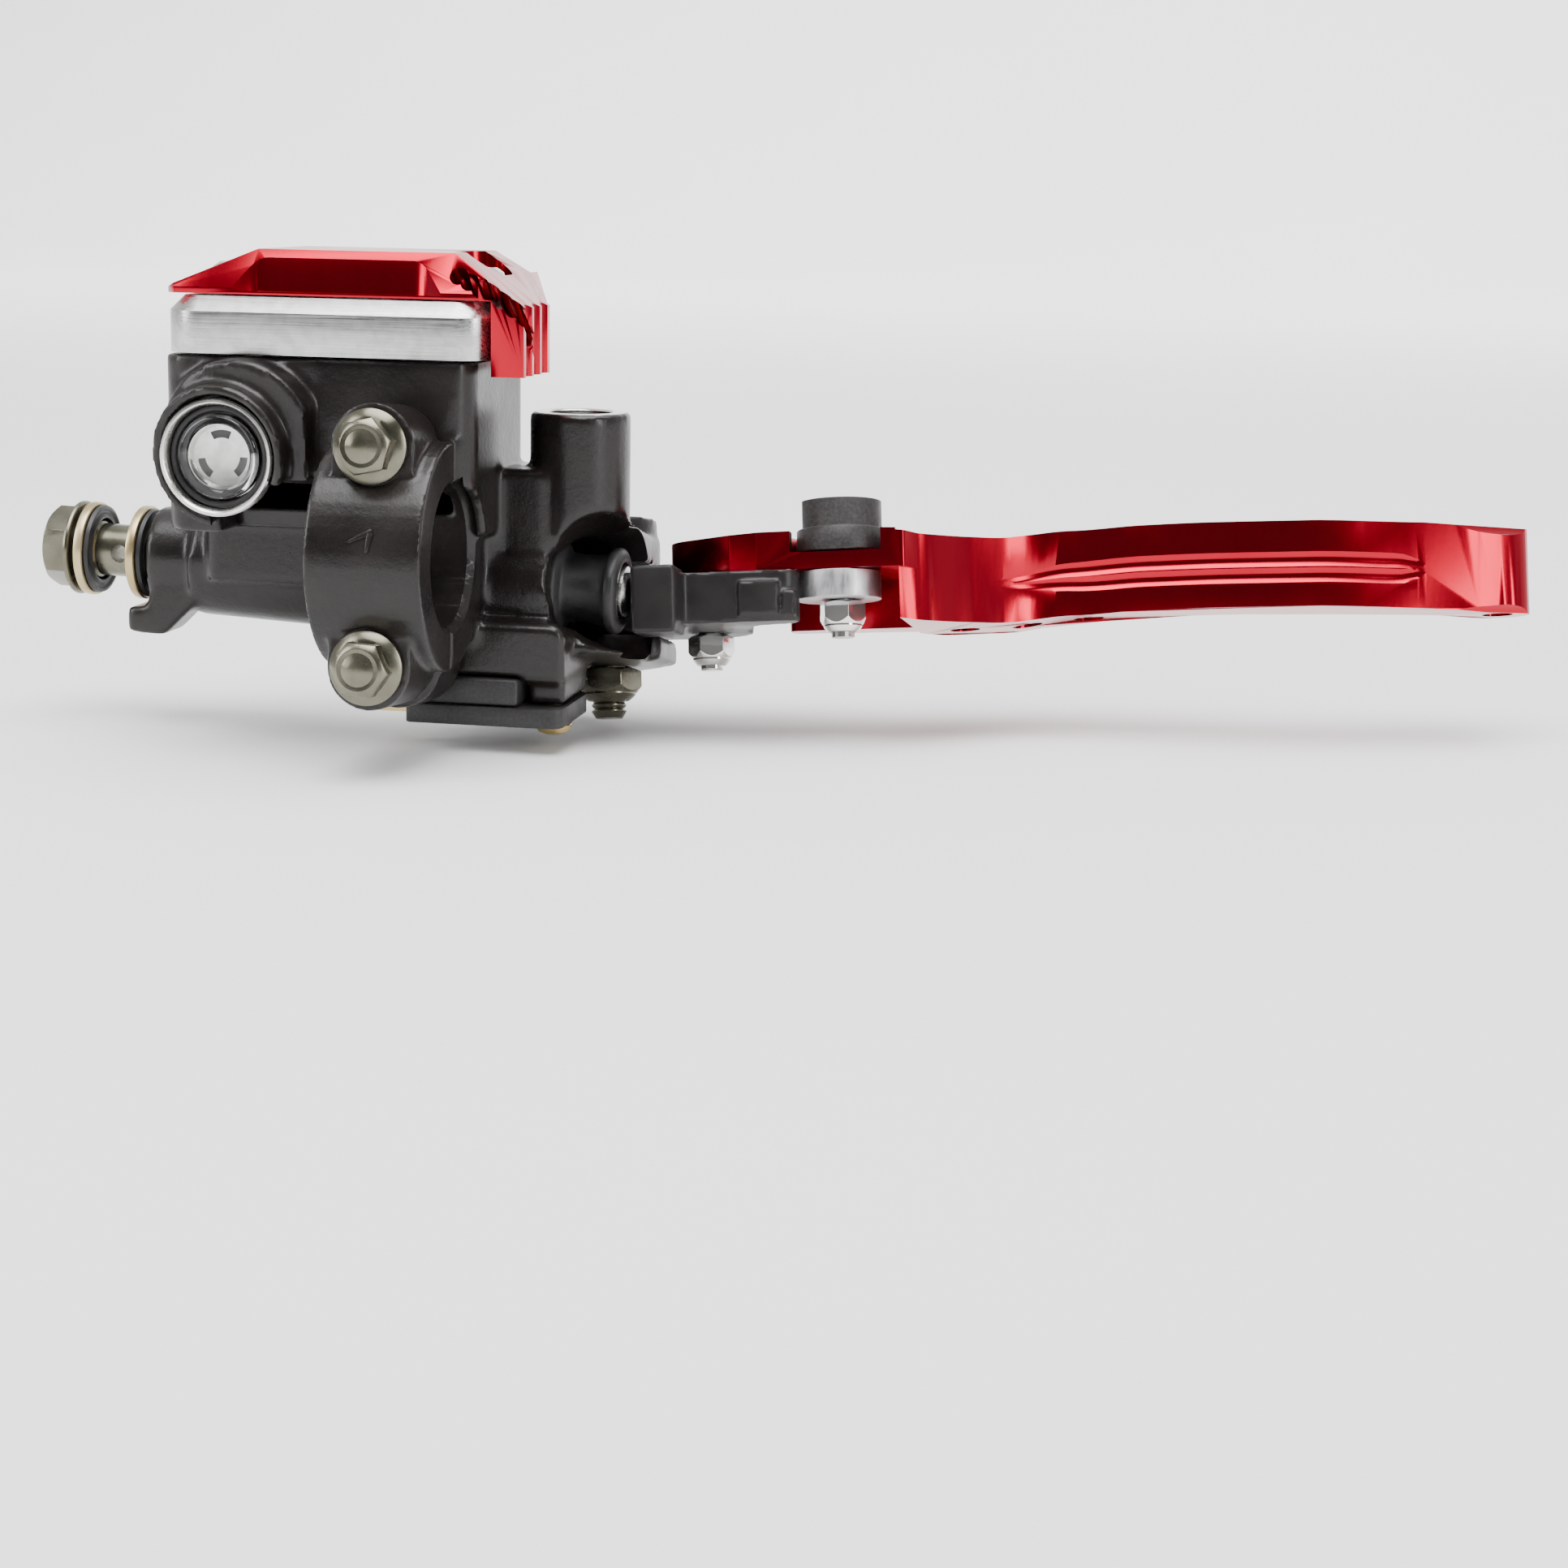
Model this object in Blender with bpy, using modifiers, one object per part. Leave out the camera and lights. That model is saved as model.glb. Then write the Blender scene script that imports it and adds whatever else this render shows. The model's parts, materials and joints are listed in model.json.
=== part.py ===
"""Right-hand hydraulic brake master cylinder with a reach-adjustable lever, for a 22.2 mm handlebar.

Frame: the origin is the centre of the handlebar clamp's bore. +X runs along the handlebar towards the
lever's tip, +Y points away from the rider and +Z is up. Numbers are millimetres until a helper scales
them to metres.
"""
import bmesh
import bpy
from math import atan2, cos, pi, radians, sin
from mathutils import Matrix, Vector

MM = 0.001
GAP = 0.3                       # clearance kept between pieces that touch

# Handlebar clamp
BAR_BORE_R = 11.15
RING_R = 18.15
RING_HALF_WIDTH = 9.3
BOLT_TILT = radians(5.0)        # the clamp's split plane leans back by this much
BOLT_HALF_PITCH = 17.0
CAP_BOSS_R = 6.7
BODY_BOSS_R = 7.5
BOLT_SEAT_Y = -13.6
M6_R = 3.0
M6_HOLE_R = 3.3

# Hydraulic cylinder: its axis dips towards the lever
CYLINDER_Y = 28.0
CYLINDER_Z = -7.15
CYLINDER_DIP = radians(2.1)
BORE_R = 6.35
BARREL_R = 10.0
BARREL_LEFT = -42.7
PORT_R = 8.2
PORT_LEFT = -50.9
PORT_HOLE_R = 5.2
BOLT_SHANK_R = 4.9
SEAL_R = 7.95
SEAL_LEFT = (-63.8, -54.5)      # left faces of the outer and the inner seal
CHAMBER_R = 8.3                 # the recess that the dust boot sits in
CHAMBER_LEFT = 18.5

# Reservoir
RES_LEFT, RES_RIGHT = -40.0, 11.4
RES_FRONT, RES_BACK = 2.0, 36.0
RES_FLOOR = 2.0
RES_RIM = 30.3
RES_WALL = 3.0
RES_INNER_LEFT, RES_INNER_RIGHT = -29.6, 6.2
RES_CORNER_R = 4.5
SPACER_LEFT, SPACER_RIGHT = -39.6, 14.4
SPACER_FRONT, SPACER_BACK = 1.6, 36.4
SPACER_TOP = 39.6
REBATE_DEPTH = 2.2              # the diaphragm and its plate lie in a rebate in the spacer's top
CAP_TOP = 47.0
CAP_FRONT = 4.0                  # set back to where the spacer's chamfer begins
CAP_MIDDLE = 38.0                # front and back are mirror images about half of this
CAP_SLOPE = 0.59                 # millimetres back for each one up, on the front and back faces
CAP_POCKET = 6.83                # the pocket's wall behind the sloping front face
CAP_LEFT_EDGE = 40.8
CAP_RIGHT_EDGE = 38.9
CAP_FLAT_LEFT, CAP_FLAT_RIGHT = -25.0, 7.5
CAP_RIGHT = 20.0
EAR_BOTTOM = 28.2
EAR_FRONT, EAR_BACK = 2.6, 18.2
SCREW_X = (-33.6, 8.8)
SCREW_Y = 19.0

# Sight glass, turned a little to the left and down
GLASS_CENTRE = (-28.4, -4.0, 14.7)
GLASS_YAW = radians(-6.0)
GLASS_PITCH = radians(5.0)
GLASS_BOSS_R = 11.4
GLASS_BORE_R = 9.7

# Mirror boss
MIRROR_X, MIRROR_Y = 23.2, 26.0
MIRROR_R = 8.25
MIRROR_TOP = 21.5
MIRROR_HOLE_R = 5.0
MIRROR_HOLE_DEPTH = 14.0

# Lever: its plane leans forward and is rolled a little about the line of sight
PIVOT = (23.2, 45.0, -13.3)
LEVER_TILT = radians(14.0)
LEVER_LEAN = 0.085
EAR_GAP = 6.2                   # half the slot between the fork's ears
UPPER_EAR_TOP = 14.6
LOWER_EAR_BOTTOM = -10.8
PIVOT_R = 3.0
HUB_R = 8.0

# Places in the lever's plane, from the pivot: u along the lever, v away from the rider
HANDLE_PIN = (18.0, 1.0)
KNOB_PIN = (42.2, -7.5)
NOSE_CENTRE = (33.0, -14.0)
NOSE_R = 3.0
KNUCKLE_TOP = 2.9
KNUCKLE_BOTTOM = -5.6
HEEL = (-9.5, -4.0)             # works the brake light switch's plunger
HEEL_R = 2.2
PLATE_BOTTOM = KNUCKLE_TOP + GAP
PLATE_TOP = 9.5
POCKET_FLOOR = 5.9
POCKET_R = 8.9
KNOB_R = 7.5
KNOB_BOTTOM = POCKET_FLOOR + GAP
KNOB_STEP = 10.2
KNOB_TOP = 14.9
BAR_START = 52.6
BAR_TOP = 9.2
BAR_BOTTOM = -5.3
CAM_TOP = PLATE_BOTTOM - GAP
CAM_BOTTOM = -1.6
DETENT = (0.0, 4.8)
REACH_TRAVEL = radians(5.0)
KNOB_TRAVEL = radians(200.0)

# Brake light switch, under the cylinder
SWITCH_LEFT, SWITCH_STEP_X, SWITCH_RIGHT = -2.0, 16.6, 23.9
SWITCH_FRONT, SWITCH_BACK = 11.0, 31.0
SWITCH_TAIL = 41.5
SWITCH_TOP = -21.2
SWITCH_TAIL_TOP = -24.2
SWITCH_SPLIT = -25.8
SWITCH_BOTTOM = -29.0
SWITCH_SCREW = (20.6, 19.0)


def clear_scene():
    for obj in list(bpy.data.objects):
        bpy.data.objects.remove(obj, do_unlink=True)


def new_collection(name, hidden=False):
    collection = bpy.data.collections.new(name)
    bpy.context.scene.collection.children.link(collection)
    collection.hide_render = hidden
    return collection


clear_scene()
parts = new_collection("brake_master_cylinder")
tools = new_collection("cutters", hidden=True)


def material(name, color, roughness, metallic=0.0, alpha=1.0):
    mat = bpy.data.materials.new(name)
    mat.use_nodes = True
    shader = mat.node_tree.nodes["Principled BSDF"]
    shader.inputs["Base Color"].default_value = (*color, 1.0)
    shader.inputs["Roughness"].default_value = roughness
    shader.inputs["Metallic"].default_value = metallic
    shader.inputs["Alpha"].default_value = alpha
    return mat


BLACK_PAINT = material("black_paint", (0.022, 0.018, 0.017), 0.38)
RED_ANODISED = material("red_anodised", (0.42, 0.004, 0.018), 0.28, 0.9)
BARE_ALUMINIUM = material("bare_aluminium", (0.74, 0.74, 0.75), 0.32, 1.0)
OLIVE_ZINC = material("olive_zinc", (0.24, 0.24, 0.19), 0.30, 1.0)
YELLOW_ZINC = material("yellow_zinc", (0.56, 0.50, 0.30), 0.40, 1.0)
CHROME = material("chrome", (0.85, 0.84, 0.80), 0.10, 1.0)
RUBBER = material("rubber", (0.02, 0.02, 0.02), 0.65)
PLASTIC = material("black_plastic", (0.035, 0.030, 0.030), 0.55)
CLEAR = material("clear_lens", (0.92, 0.94, 0.94), 0.05, 0.0, 0.3)
STEEL = material("steel", (0.55, 0.55, 0.55), 0.30, 1.0)
BRASS = material("brass", (0.70, 0.58, 0.30), 0.28, 1.0)


def new_frame(name, matrix):
    empty = bpy.data.objects.new(name, None)
    parts.objects.link(empty)
    empty.matrix_world = matrix
    return empty


def place(x, y, z):
    return Matrix.Translation(Vector((x, y, z)) * MM)


def basis(x_axis, y_axis, z_axis):
    rows = Matrix((x_axis, y_axis, z_axis)).transposed()
    return rows.to_4x4()


def lever_axes():
    normal = Vector((-LEVER_LEAN, sin(LEVER_TILT), cos(LEVER_TILT))).normalized()
    along = (Vector((1, 0, 0)) - normal.x * normal).normalized()
    return along, normal.cross(along), normal


LEVER_BASIS = basis(*lever_axes())
WORLD = new_frame("clamp_frame", Matrix.Identity(4))
CLAMP = new_frame("split_frame", Matrix.Rotation(-BOLT_TILT, 4, "X"))
AXIS = new_frame("piston_axis", place(0, CYLINDER_Y, CYLINDER_Z) @ Matrix.Rotation(CYLINDER_DIP, 4, "Y"))
LEVER = new_frame("lever_axis", place(*PIVOT) @ LEVER_BASIS)
HANDLE = new_frame("handle_axis", LEVER.matrix_world @ place(HANDLE_PIN[0], HANDLE_PIN[1], 0))
KNOB = new_frame("adjuster_axis", LEVER.matrix_world @ place(KNOB_PIN[0], KNOB_PIN[1], 0))
GLASS = new_frame(
    "glass_axis",
    place(*GLASS_CENTRE) @ Matrix.Rotation(GLASS_YAW, 4, "Z") @ Matrix.Rotation(GLASS_PITCH, 4, "X"),
)
TURN_TO_X = Matrix.Rotation(pi / 2, 4, "Y")     # +Z goes to +X
TURN_TO_FRONT = Matrix.Rotation(pi / 2, 4, "X")  # +Z goes to -Y


def add_object(name, mesh, frame, mat=None, collection=None):
    obj = bpy.data.objects.new(name, mesh)
    (collection or parts).objects.link(obj)
    obj.parent = frame
    if mat:
        mesh.materials.append(mat)
    return obj


def as_tool(obj):
    obj.hide_render = True
    obj.display_type = "WIRE"
    return obj


def mesh_from(bm, name, turn=None):
    if turn:
        bm.transform(turn)
    mesh = bpy.data.meshes.new(name)
    bm.to_mesh(mesh)
    bm.free()
    mesh.shade_smooth()
    mesh.set_sharp_from_angle(angle=radians(35))
    return mesh


def rod(frame, radius, low, high, centre=(0, 0), turn=None, segments=40, end_radius=None):
    """A cylinder or cone from low to high along Z, or along the axis that turn gives."""
    bm = bmesh.new()
    lift = Matrix.Translation((centre[0] * MM, centre[1] * MM, (low + high) / 2 * MM))
    top = radius if end_radius is None else end_radius
    bmesh.ops.create_cone(bm, cap_ends=True, segments=segments, radius1=radius * MM, radius2=top * MM,
                          depth=(high - low) * MM, matrix=lift)
    return as_tool(add_object("rod", mesh_from(bm, "rod", turn), frame, collection=tools))


def block(frame, low, high, corner=0.0, turn=None):
    """A box between two corners, its edges rounded by corner."""
    bm = bmesh.new()
    bmesh.ops.create_cube(bm, size=1.0)
    for vert in bm.verts:
        for i in range(3):
            vert.co[i] = (low[i] if vert.co[i] < 0 else high[i]) * MM
    if corner:
        bmesh.ops.bevel(bm, geom=bm.edges[:], offset=corner * MM, segments=3, profile=0.5,
                        affect="EDGES", material=-1)
    return as_tool(add_object("block", mesh_from(bm, "block", turn), frame, collection=tools))


def rounded_outline(corners, steps=5):
    """Points round a polygon whose corners are (x, y, radius)."""
    points = []
    for i, (x, y, radius) in enumerate(corners):
        here = Vector((x, y))
        before = (Vector(corners[i - 1][:2]) - here).normalized()
        after = (Vector(corners[(i + 1) % len(corners)][:2]) - here).normalized()
        if radius <= 0:
            points.append(here)
            continue
        half = before.angle(after) / 2
        start = here + before * (radius / abs(sin(half)) * cos(half))
        end = here + after * (radius / abs(sin(half)) * cos(half))
        centre = here + (before + after).normalized() * (radius / sin(half))
        first = atan2(*(start - centre).yx)
        sweep = (atan2(*(end - centre).yx) - first + pi) % (2 * pi) - pi
        for k in range(steps + 1):
            angle = first + sweep * k / steps
            points.append(centre + Vector((cos(angle), sin(angle))) * radius)
    return points


def bevel_top(bm, high, width, segments):
    """Chamfers the outer edge of the face at height high."""
    rim = [edge for edge in bm.edges
           if all(abs(v.co.z - high * MM) < 1e-7 for v in edge.verts)
           and edge.calc_face_angle(0) > radians(60)]
    bmesh.ops.bevel(bm, geom=rim, offset=width * MM, segments=segments, profile=0.5,
                    affect="EDGES", material=-1)


def plate_mesh(points, low, high, turn=None, chamfer=0.0, segments=1):
    """A flat outline filled and given thickness from low to high along Z."""
    curve = bpy.data.curves.new("outline", "CURVE")
    curve.dimensions = "2D"
    curve.fill_mode = "BOTH"
    curve.extrude = (high - low) / 2 * MM
    spline = curve.splines.new("POLY")
    spline.points.add(len(points) - 1)
    spline.use_cyclic_u = True
    for target, point in zip(spline.points, points):
        target.co = (point[0] * MM, point[1] * MM, 0, 1)
    flat = bpy.data.objects.new("outline", curve)
    tools.objects.link(flat)
    mesh = bpy.data.meshes.new_from_object(flat.evaluated_get(bpy.context.evaluated_depsgraph_get()))
    bpy.data.objects.remove(flat)
    bm = bmesh.new()
    bm.from_mesh(mesh)
    bmesh.ops.remove_doubles(bm, verts=bm.verts[:], dist=0.00001)
    bmesh.ops.translate(bm, verts=bm.verts[:], vec=(0, 0, (low + high) / 2 * MM))
    if chamfer:
        bmesh.ops.dissolve_limit(bm, angle_limit=radians(1), verts=bm.verts[:], edges=bm.edges[:])
        bevel_top(bm, high, chamfer, segments)
    return mesh_from(bm, "plate", turn)


def plate(frame, points, low, high, turn=None, chamfer=0.0, segments=1):
    mesh = plate_mesh(points, low, high, turn, chamfer, segments)
    return as_tool(add_object("plate", mesh, frame, collection=tools))


def rounded_box(frame, left, right, front, back, low, high, radius, chamfer=0.0):
    corners = [(left, front, radius), (right, front, radius), (right, back, radius), (left, back, radius)]
    return plate(frame, rounded_outline(corners), low, high, chamfer=chamfer)


def combine(name, frame, mat, base, add=(), cut=()):
    """One closed solid: base joined with every shape in add, then every shape in cut taken away."""
    mesh = base.data.copy()
    obj = add_object(name, mesh, frame, mat)
    for operation, shapes in (("UNION", add), ("DIFFERENCE", cut)):
        if not shapes:
            continue
        group = bpy.data.collections.new(f"{name} {operation.lower()}")
        tools.children.link(group)
        for shape in shapes:
            group.objects.link(shape)
        boolean = obj.modifiers.new(operation.title(), "BOOLEAN")
        boolean.operation = operation
        boolean.solver = "EXACT"
        boolean.operand_type = "COLLECTION"
        boolean.collection = group
    return obj


def turned(name, frame, mat, profile, segments=40, along_x=True):
    """A solid of revolution; profile lists (position along the axis, radius), from the high end down
    its outer side and, on a ring, back up its inner side."""
    bm = bmesh.new()
    verts = [bm.verts.new((r * MM, 0, z * MM)) for z, r in profile]
    for a, b in zip(verts, verts[1:] + verts[:1]):
        if a.co.x > 0 or b.co.x > 0:
            bm.edges.new((a, b))
    mesh = bpy.data.meshes.new(name)
    bm.to_mesh(mesh)
    bm.free()
    obj = add_object(name, mesh, frame, mat)
    if along_x:
        obj.rotation_euler = (0, pi / 2, 0)
    screw = obj.modifiers.new("Turn", "SCREW")
    screw.steps = segments
    screw.render_steps = segments
    screw.use_merge_vertices = True
    screw.merge_threshold = 0.00001
    screw.use_normal_calculate = False
    screw.use_smooth_shade = True
    return obj


def wire(name, frame, mat, points, radius):
    """A round wire along a list of points."""
    curve = bpy.data.curves.new(name, "CURVE")
    curve.dimensions = "3D"
    curve.bevel_depth = radius * MM
    curve.bevel_resolution = 1
    curve.resolution_u = 1
    curve.render_resolution_u = 0
    curve.use_fill_caps = True
    spline = curve.splines.new("POLY")
    spline.points.add(len(points) - 1)
    for target, point in zip(spline.points, points):
        target.co = (*(Vector(point) * MM), 1)
    curve.materials.append(mat)
    obj = bpy.data.objects.new(name, curve)
    parts.objects.link(obj)
    obj.parent = frame
    return obj


def hex_outline(across_flats, turn=0.0):
    radius = across_flats / 2 / cos(pi / 6)
    return [(radius * cos(turn + k * pi / 3), radius * sin(turn + k * pi / 3)) for k in range(6)]


def circle(centre, radius, steps=32, start=0.0, sweep=2 * pi):
    count = steps if abs(sweep) >= 2 * pi - 1e-6 else steps + 1
    return [(centre[0] + radius * cos(start + sweep * k / steps),
             centre[1] + radius * sin(start + sweep * k / steps)) for k in range(count)]


# The casting

def clamp_half_bosses(radius, low, high):
    """The two bolt bosses of one clamp half, between two distances from the split plane."""
    return [rod(CLAMP, radius, -high, -low, (0, side * BOLT_HALF_PITCH), TURN_TO_FRONT, 32)
            for side in (1, -1)]


def fork_outline():
    """The fork's ears in the lever's plane, from the barrel to round the pivot."""
    return rounded_outline([
        (-24.0, -25.5, 5.0), (6.0, -27.0, 3.0), (9.6, -19.0, 2.0), (9.2, -6.0, 3.0),
        (9.6, 9.6, 9.4), (-9.6, 9.6, 9.0), (-17.5, 0.0, 4.0), (-24.0, -10.0, 4.0),
    ])


def make_body():
    barrel = rod(AXIS, BARREL_R - 0.4, BARREL_LEFT, 20.0, turn=TURN_TO_X, end_radius=BARREL_R + 0.6)
    port = rod(AXIS, PORT_R, PORT_LEFT, BARREL_LEFT + 2, turn=TURN_TO_X)
    bowl = rod(AXIS, BARREL_R + 1.6, 8.0, 24.0, turn=TURN_TO_X, end_radius=BARREL_R + 2.0)
    reservoir = rounded_box(WORLD, RES_LEFT, RES_RIGHT, RES_FRONT, RES_BACK, RES_FLOOR, RES_RIM,
                            RES_CORNER_R)
    neck = rounded_box(WORLD, RES_LEFT + 1, 12.0, 17.0, 35.0, -8.0, RES_FLOOR + 2, 2.0)
    glass_boss = rod(GLASS, GLASS_BOSS_R, -9.0, 0.0, turn=TURN_TO_FRONT, segments=48)
    glass_step = rod(GLASS, GLASS_BOSS_R + 2.0, -10.0, -3.6, (2.0, 1.6), TURN_TO_FRONT, 48)
    shelf = block(WORLD, (-20.0, -0.5, 9.2), (2.0, 6.0, 10.8), 0.5)
    ring = rod(WORLD, RING_R, -RING_HALF_WIDTH, RING_HALF_WIDTH, turn=TURN_TO_X, segments=56)
    web = block(WORLD, (-9.0, 9.0, -15.5), (9.0, 27.0, 12.0), 1.5)
    mirror = rod(WORLD, MIRROR_R, -3.0, MIRROR_TOP, (MIRROR_X, MIRROR_Y))
    mirror_web = block(WORLD, (9.0, 18.0, -4.0), (20.0, 32.0, 12.4), 1.0)
    ears = plate(LEVER, fork_outline(), LOWER_EAR_BOTTOM, 11.2)
    hood = plate(LEVER, circle((0.15, 0.1), 8.7, 38), 9.0, UPPER_EAR_TOP)
    toe = block(LEVER, (2.0, -9.0, LOWER_EAR_BOTTOM + 0.3), (11.0, 6.2, 0.3 - EAR_GAP), 0.9)
    hook = plate(WORLD, rounded_outline([
        (-54.6, -17.9, 0.6), (-48.0, -18.2, 2.0), (-42.6, -13.0, 1.0), (-44.0, -9.0, 1.0),
        (-49.8, -10.0, 1.0), (-51.4, -13.5, 0.8), (-54.5, -13.6, 0.6),
    ]), -29.0, -20.5, TURN_TO_FRONT)
    switch_pad = block(WORLD, (1.0, 12.0, -21.8), (24.0, 31.0, -12.0), 1.0)
    switch_rib = block(WORLD, (17.6, 14.0, SWITCH_SPLIT + GAP), (23.6, 30.0, -18.0), 0.8)

    bar_side = block(CLAMP, (-14.0, -40.0, -40.0), (14.0, GAP / 2, 40.0))
    bar = rod(WORLD, BAR_BORE_R, -30.0, 30.0, turn=TURN_TO_X, segments=56)
    bore = rod(AXIS, BORE_R, -34.0, 26.0, turn=TURN_TO_X)
    clip_groove = rod(AXIS, BORE_R + 0.9, 16.2, 17.5, turn=TURN_TO_X)
    outlet = rod(AXIS, PORT_HOLE_R, -60.0, -36.0, turn=TURN_TO_X)
    passage = rod(AXIS, 2.0, -38.0, -30.0, turn=TURN_TO_X, segments=20)
    chamber = rod(AXIS, CHAMBER_R, CHAMBER_LEFT, 40.0, turn=TURN_TO_X, end_radius=9.4)
    cavity = rounded_box(WORLD, RES_INNER_LEFT, RES_INNER_RIGHT, RES_FRONT + RES_WALL,
                         RES_BACK - RES_WALL, 5.5, RES_RIM + 2, RES_CORNER_R - 1.5)
    feed = rod(WORLD, 1.6, -7.0, 7.0, (-14.0, CYLINDER_Y), segments=20)
    glass_bore = rod(GLASS, GLASS_BORE_R, -4.2, 2.0, turn=TURN_TO_FRONT, segments=48)
    glass_hole = rod(GLASS, 6.2, -14.0, 1.0, turn=TURN_TO_FRONT)
    mirror_hole = rod(WORLD, MIRROR_HOLE_R, MIRROR_TOP - MIRROR_HOLE_DEPTH, MIRROR_TOP + 2,
                      (MIRROR_X, MIRROR_Y), segments=32)
    mirror_flare = rod(WORLD, MIRROR_HOLE_R + 0.3, MIRROR_TOP - 0.7, MIRROR_TOP + 0.3,
                       (MIRROR_X, MIRROR_Y), segments=32, end_radius=MIRROR_HOLE_R + 1.2)
    slot = plate(LEVER, rounded_outline([
        (-3.0, -34.0, 2.0), (40.0, -34.0, 0), (40.0, 14.0, 0), (-6.0, 14.0, 0),
        (-13.6, 5.0, 3.0), (-13.6, -7.6, 2.0), (-3.0, -9.0, 2.0),
    ]), -EAR_GAP, EAR_GAP)
    mouth = rod(LEVER, 10.2, 16.0, 40.0, (8.0, 0.6), TURN_TO_FRONT, 40, end_radius=12.5)
    pivot_hole = rod(LEVER, PIVOT_R + 0.3, -30.0, 30.0, segments=24)
    head_recess = rod(LEVER, 5.6, UPPER_EAR_TOP - 3.6, UPPER_EAR_TOP + 4, segments=32)
    plunger_hole = rod(LEVER, 1.5, -20.0, 0.0, HEEL, segments=16)
    bolt_holes = [rod(CLAMP, M6_HOLE_R - 0.13, -11.0, 4.0, (0, side * BOLT_HALF_PITCH), TURN_TO_FRONT, 24)
                  for side in (1, -1)]
    case_room = block(WORLD, (SWITCH_LEFT - 1, SWITCH_FRONT - GAP, -40.0),
                      (SWITCH_STEP_X + GAP, SWITCH_BACK + GAP, SWITCH_TOP + GAP))
    tail_room = block(WORLD, (7.7, SWITCH_BACK - 1, -40.0),
                      (SWITCH_STEP_X + GAP, SWITCH_TAIL + 1, SWITCH_TAIL_TOP + GAP))
    switch_hole = rod(WORLD, 1.4, -30.0, -18.0, SWITCH_SCREW, segments=16)
    screw_holes = [rod(WORLD, 1.9, 19.0, RES_RIM + 1, (x, SCREW_Y), segments=16) for x in SCREW_X]

    adds = [port, bowl, reservoir, neck, glass_boss, glass_step, shelf, ring, web, mirror, mirror_web,
            ears, hood, toe, hook, switch_pad, switch_rib]
    adds += clamp_half_bosses(BODY_BOSS_R, -1.0, 12.0)
    cuts = [bar_side, bar, bore, clip_groove, outlet, passage, chamber, cavity, feed, glass_bore,
            glass_hole, mirror_hole, mirror_flare, slot, mouth, pivot_hole, head_recess, plunger_hole,
            case_room, tail_room, switch_hole]
    return combine("master_cylinder_body", AXIS, BLACK_PAINT, barrel, adds,
                   cuts + bolt_holes + screw_holes)


def make_clamp_cap():
    ring = rod(WORLD, RING_R, -RING_HALF_WIDTH, RING_HALF_WIDTH, turn=TURN_TO_X, segments=56)
    seats = clamp_half_bosses(CAP_BOSS_R, BOLT_SEAT_Y, 1.2)
    inner, outer = 9.0, BOLT_HALF_PITCH - 0.4
    saddles = [block(CLAMP, (0.1 - CAP_BOSS_R, BOLT_SEAT_Y + 0.05, low), (CAP_BOSS_R - 0.1, 1.0, high))
               for low, high in ((inner, outer), (-outer, -inner))]
    body_side = block(CLAMP, (-14.0, -GAP / 2, -40.0), (14.0, 40.0, 40.0))
    bar = rod(WORLD, BAR_BORE_R, -30.0, 30.0, turn=TURN_TO_X, segments=56)
    holes = [rod(CLAMP, M6_HOLE_R - 0.07, -4.0, 30.0, (0, side * BOLT_HALF_PITCH), TURN_TO_FRONT, 26)
             for side in (1, -1)]
    spot_faces = [rod(CLAMP, 6.2, 0.05 - BOLT_SEAT_Y, 30.0, (0, side * BOLT_HALF_PITCH), TURN_TO_FRONT, 34)
                  for side in (1, -1)]
    return combine("clamp_cap", WORLD, BLACK_PAINT, ring, seats + saddles,
                   [body_side, bar] + holes + spot_faces)


def make_clamp_bolt(name, side):
    seat = -BOLT_SEAT_Y + GAP
    centre = (0, side * BOLT_HALF_PITCH)
    flange = rod(CLAMP, 5.85, seat, seat + 1.3, centre, TURN_TO_FRONT, end_radius=5.3)
    outline = [(x + centre[0], y + centre[1]) for x, y in hex_outline(8.0)]
    head = plate(CLAMP, outline, seat + 0.6, seat + 5.4, TURN_TO_FRONT, 0.6)
    shank = rod(CLAMP, M6_R - 0.1, -10.6, seat + 0.8, centre, TURN_TO_FRONT, 24)
    return combine(name, CLAMP, OLIVE_ZINC, flange, [head, shank])


# The reservoir's upper parts

def make_spacer():
    frame_block = rounded_box(WORLD, SPACER_LEFT, SPACER_RIGHT, SPACER_FRONT, SPACER_BACK,
                              RES_RIM + GAP, SPACER_TOP, 6.0, chamfer=2.4)
    cavity = rounded_box(WORLD, RES_INNER_LEFT, RES_INNER_RIGHT, RES_FRONT + RES_WALL,
                         RES_BACK - RES_WALL, 25.0, 45.0, RES_CORNER_R - 1.5)
    rebate = rounded_box(WORLD, RES_INNER_LEFT - 1.4, RES_INNER_RIGHT + 0.8, RES_FRONT + 2.0,
                         RES_BACK - 2.0, SPACER_TOP - REBATE_DEPTH, 45.0, RES_CORNER_R)
    holes = [rod(WORLD, 2.2, 25.0, 45.0, (x, SCREW_Y), segments=20) for x in SCREW_X]
    return combine("reservoir_spacer", WORLD, BARE_ALUMINIUM, frame_block, (), [cavity, rebate] + holes)


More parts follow.
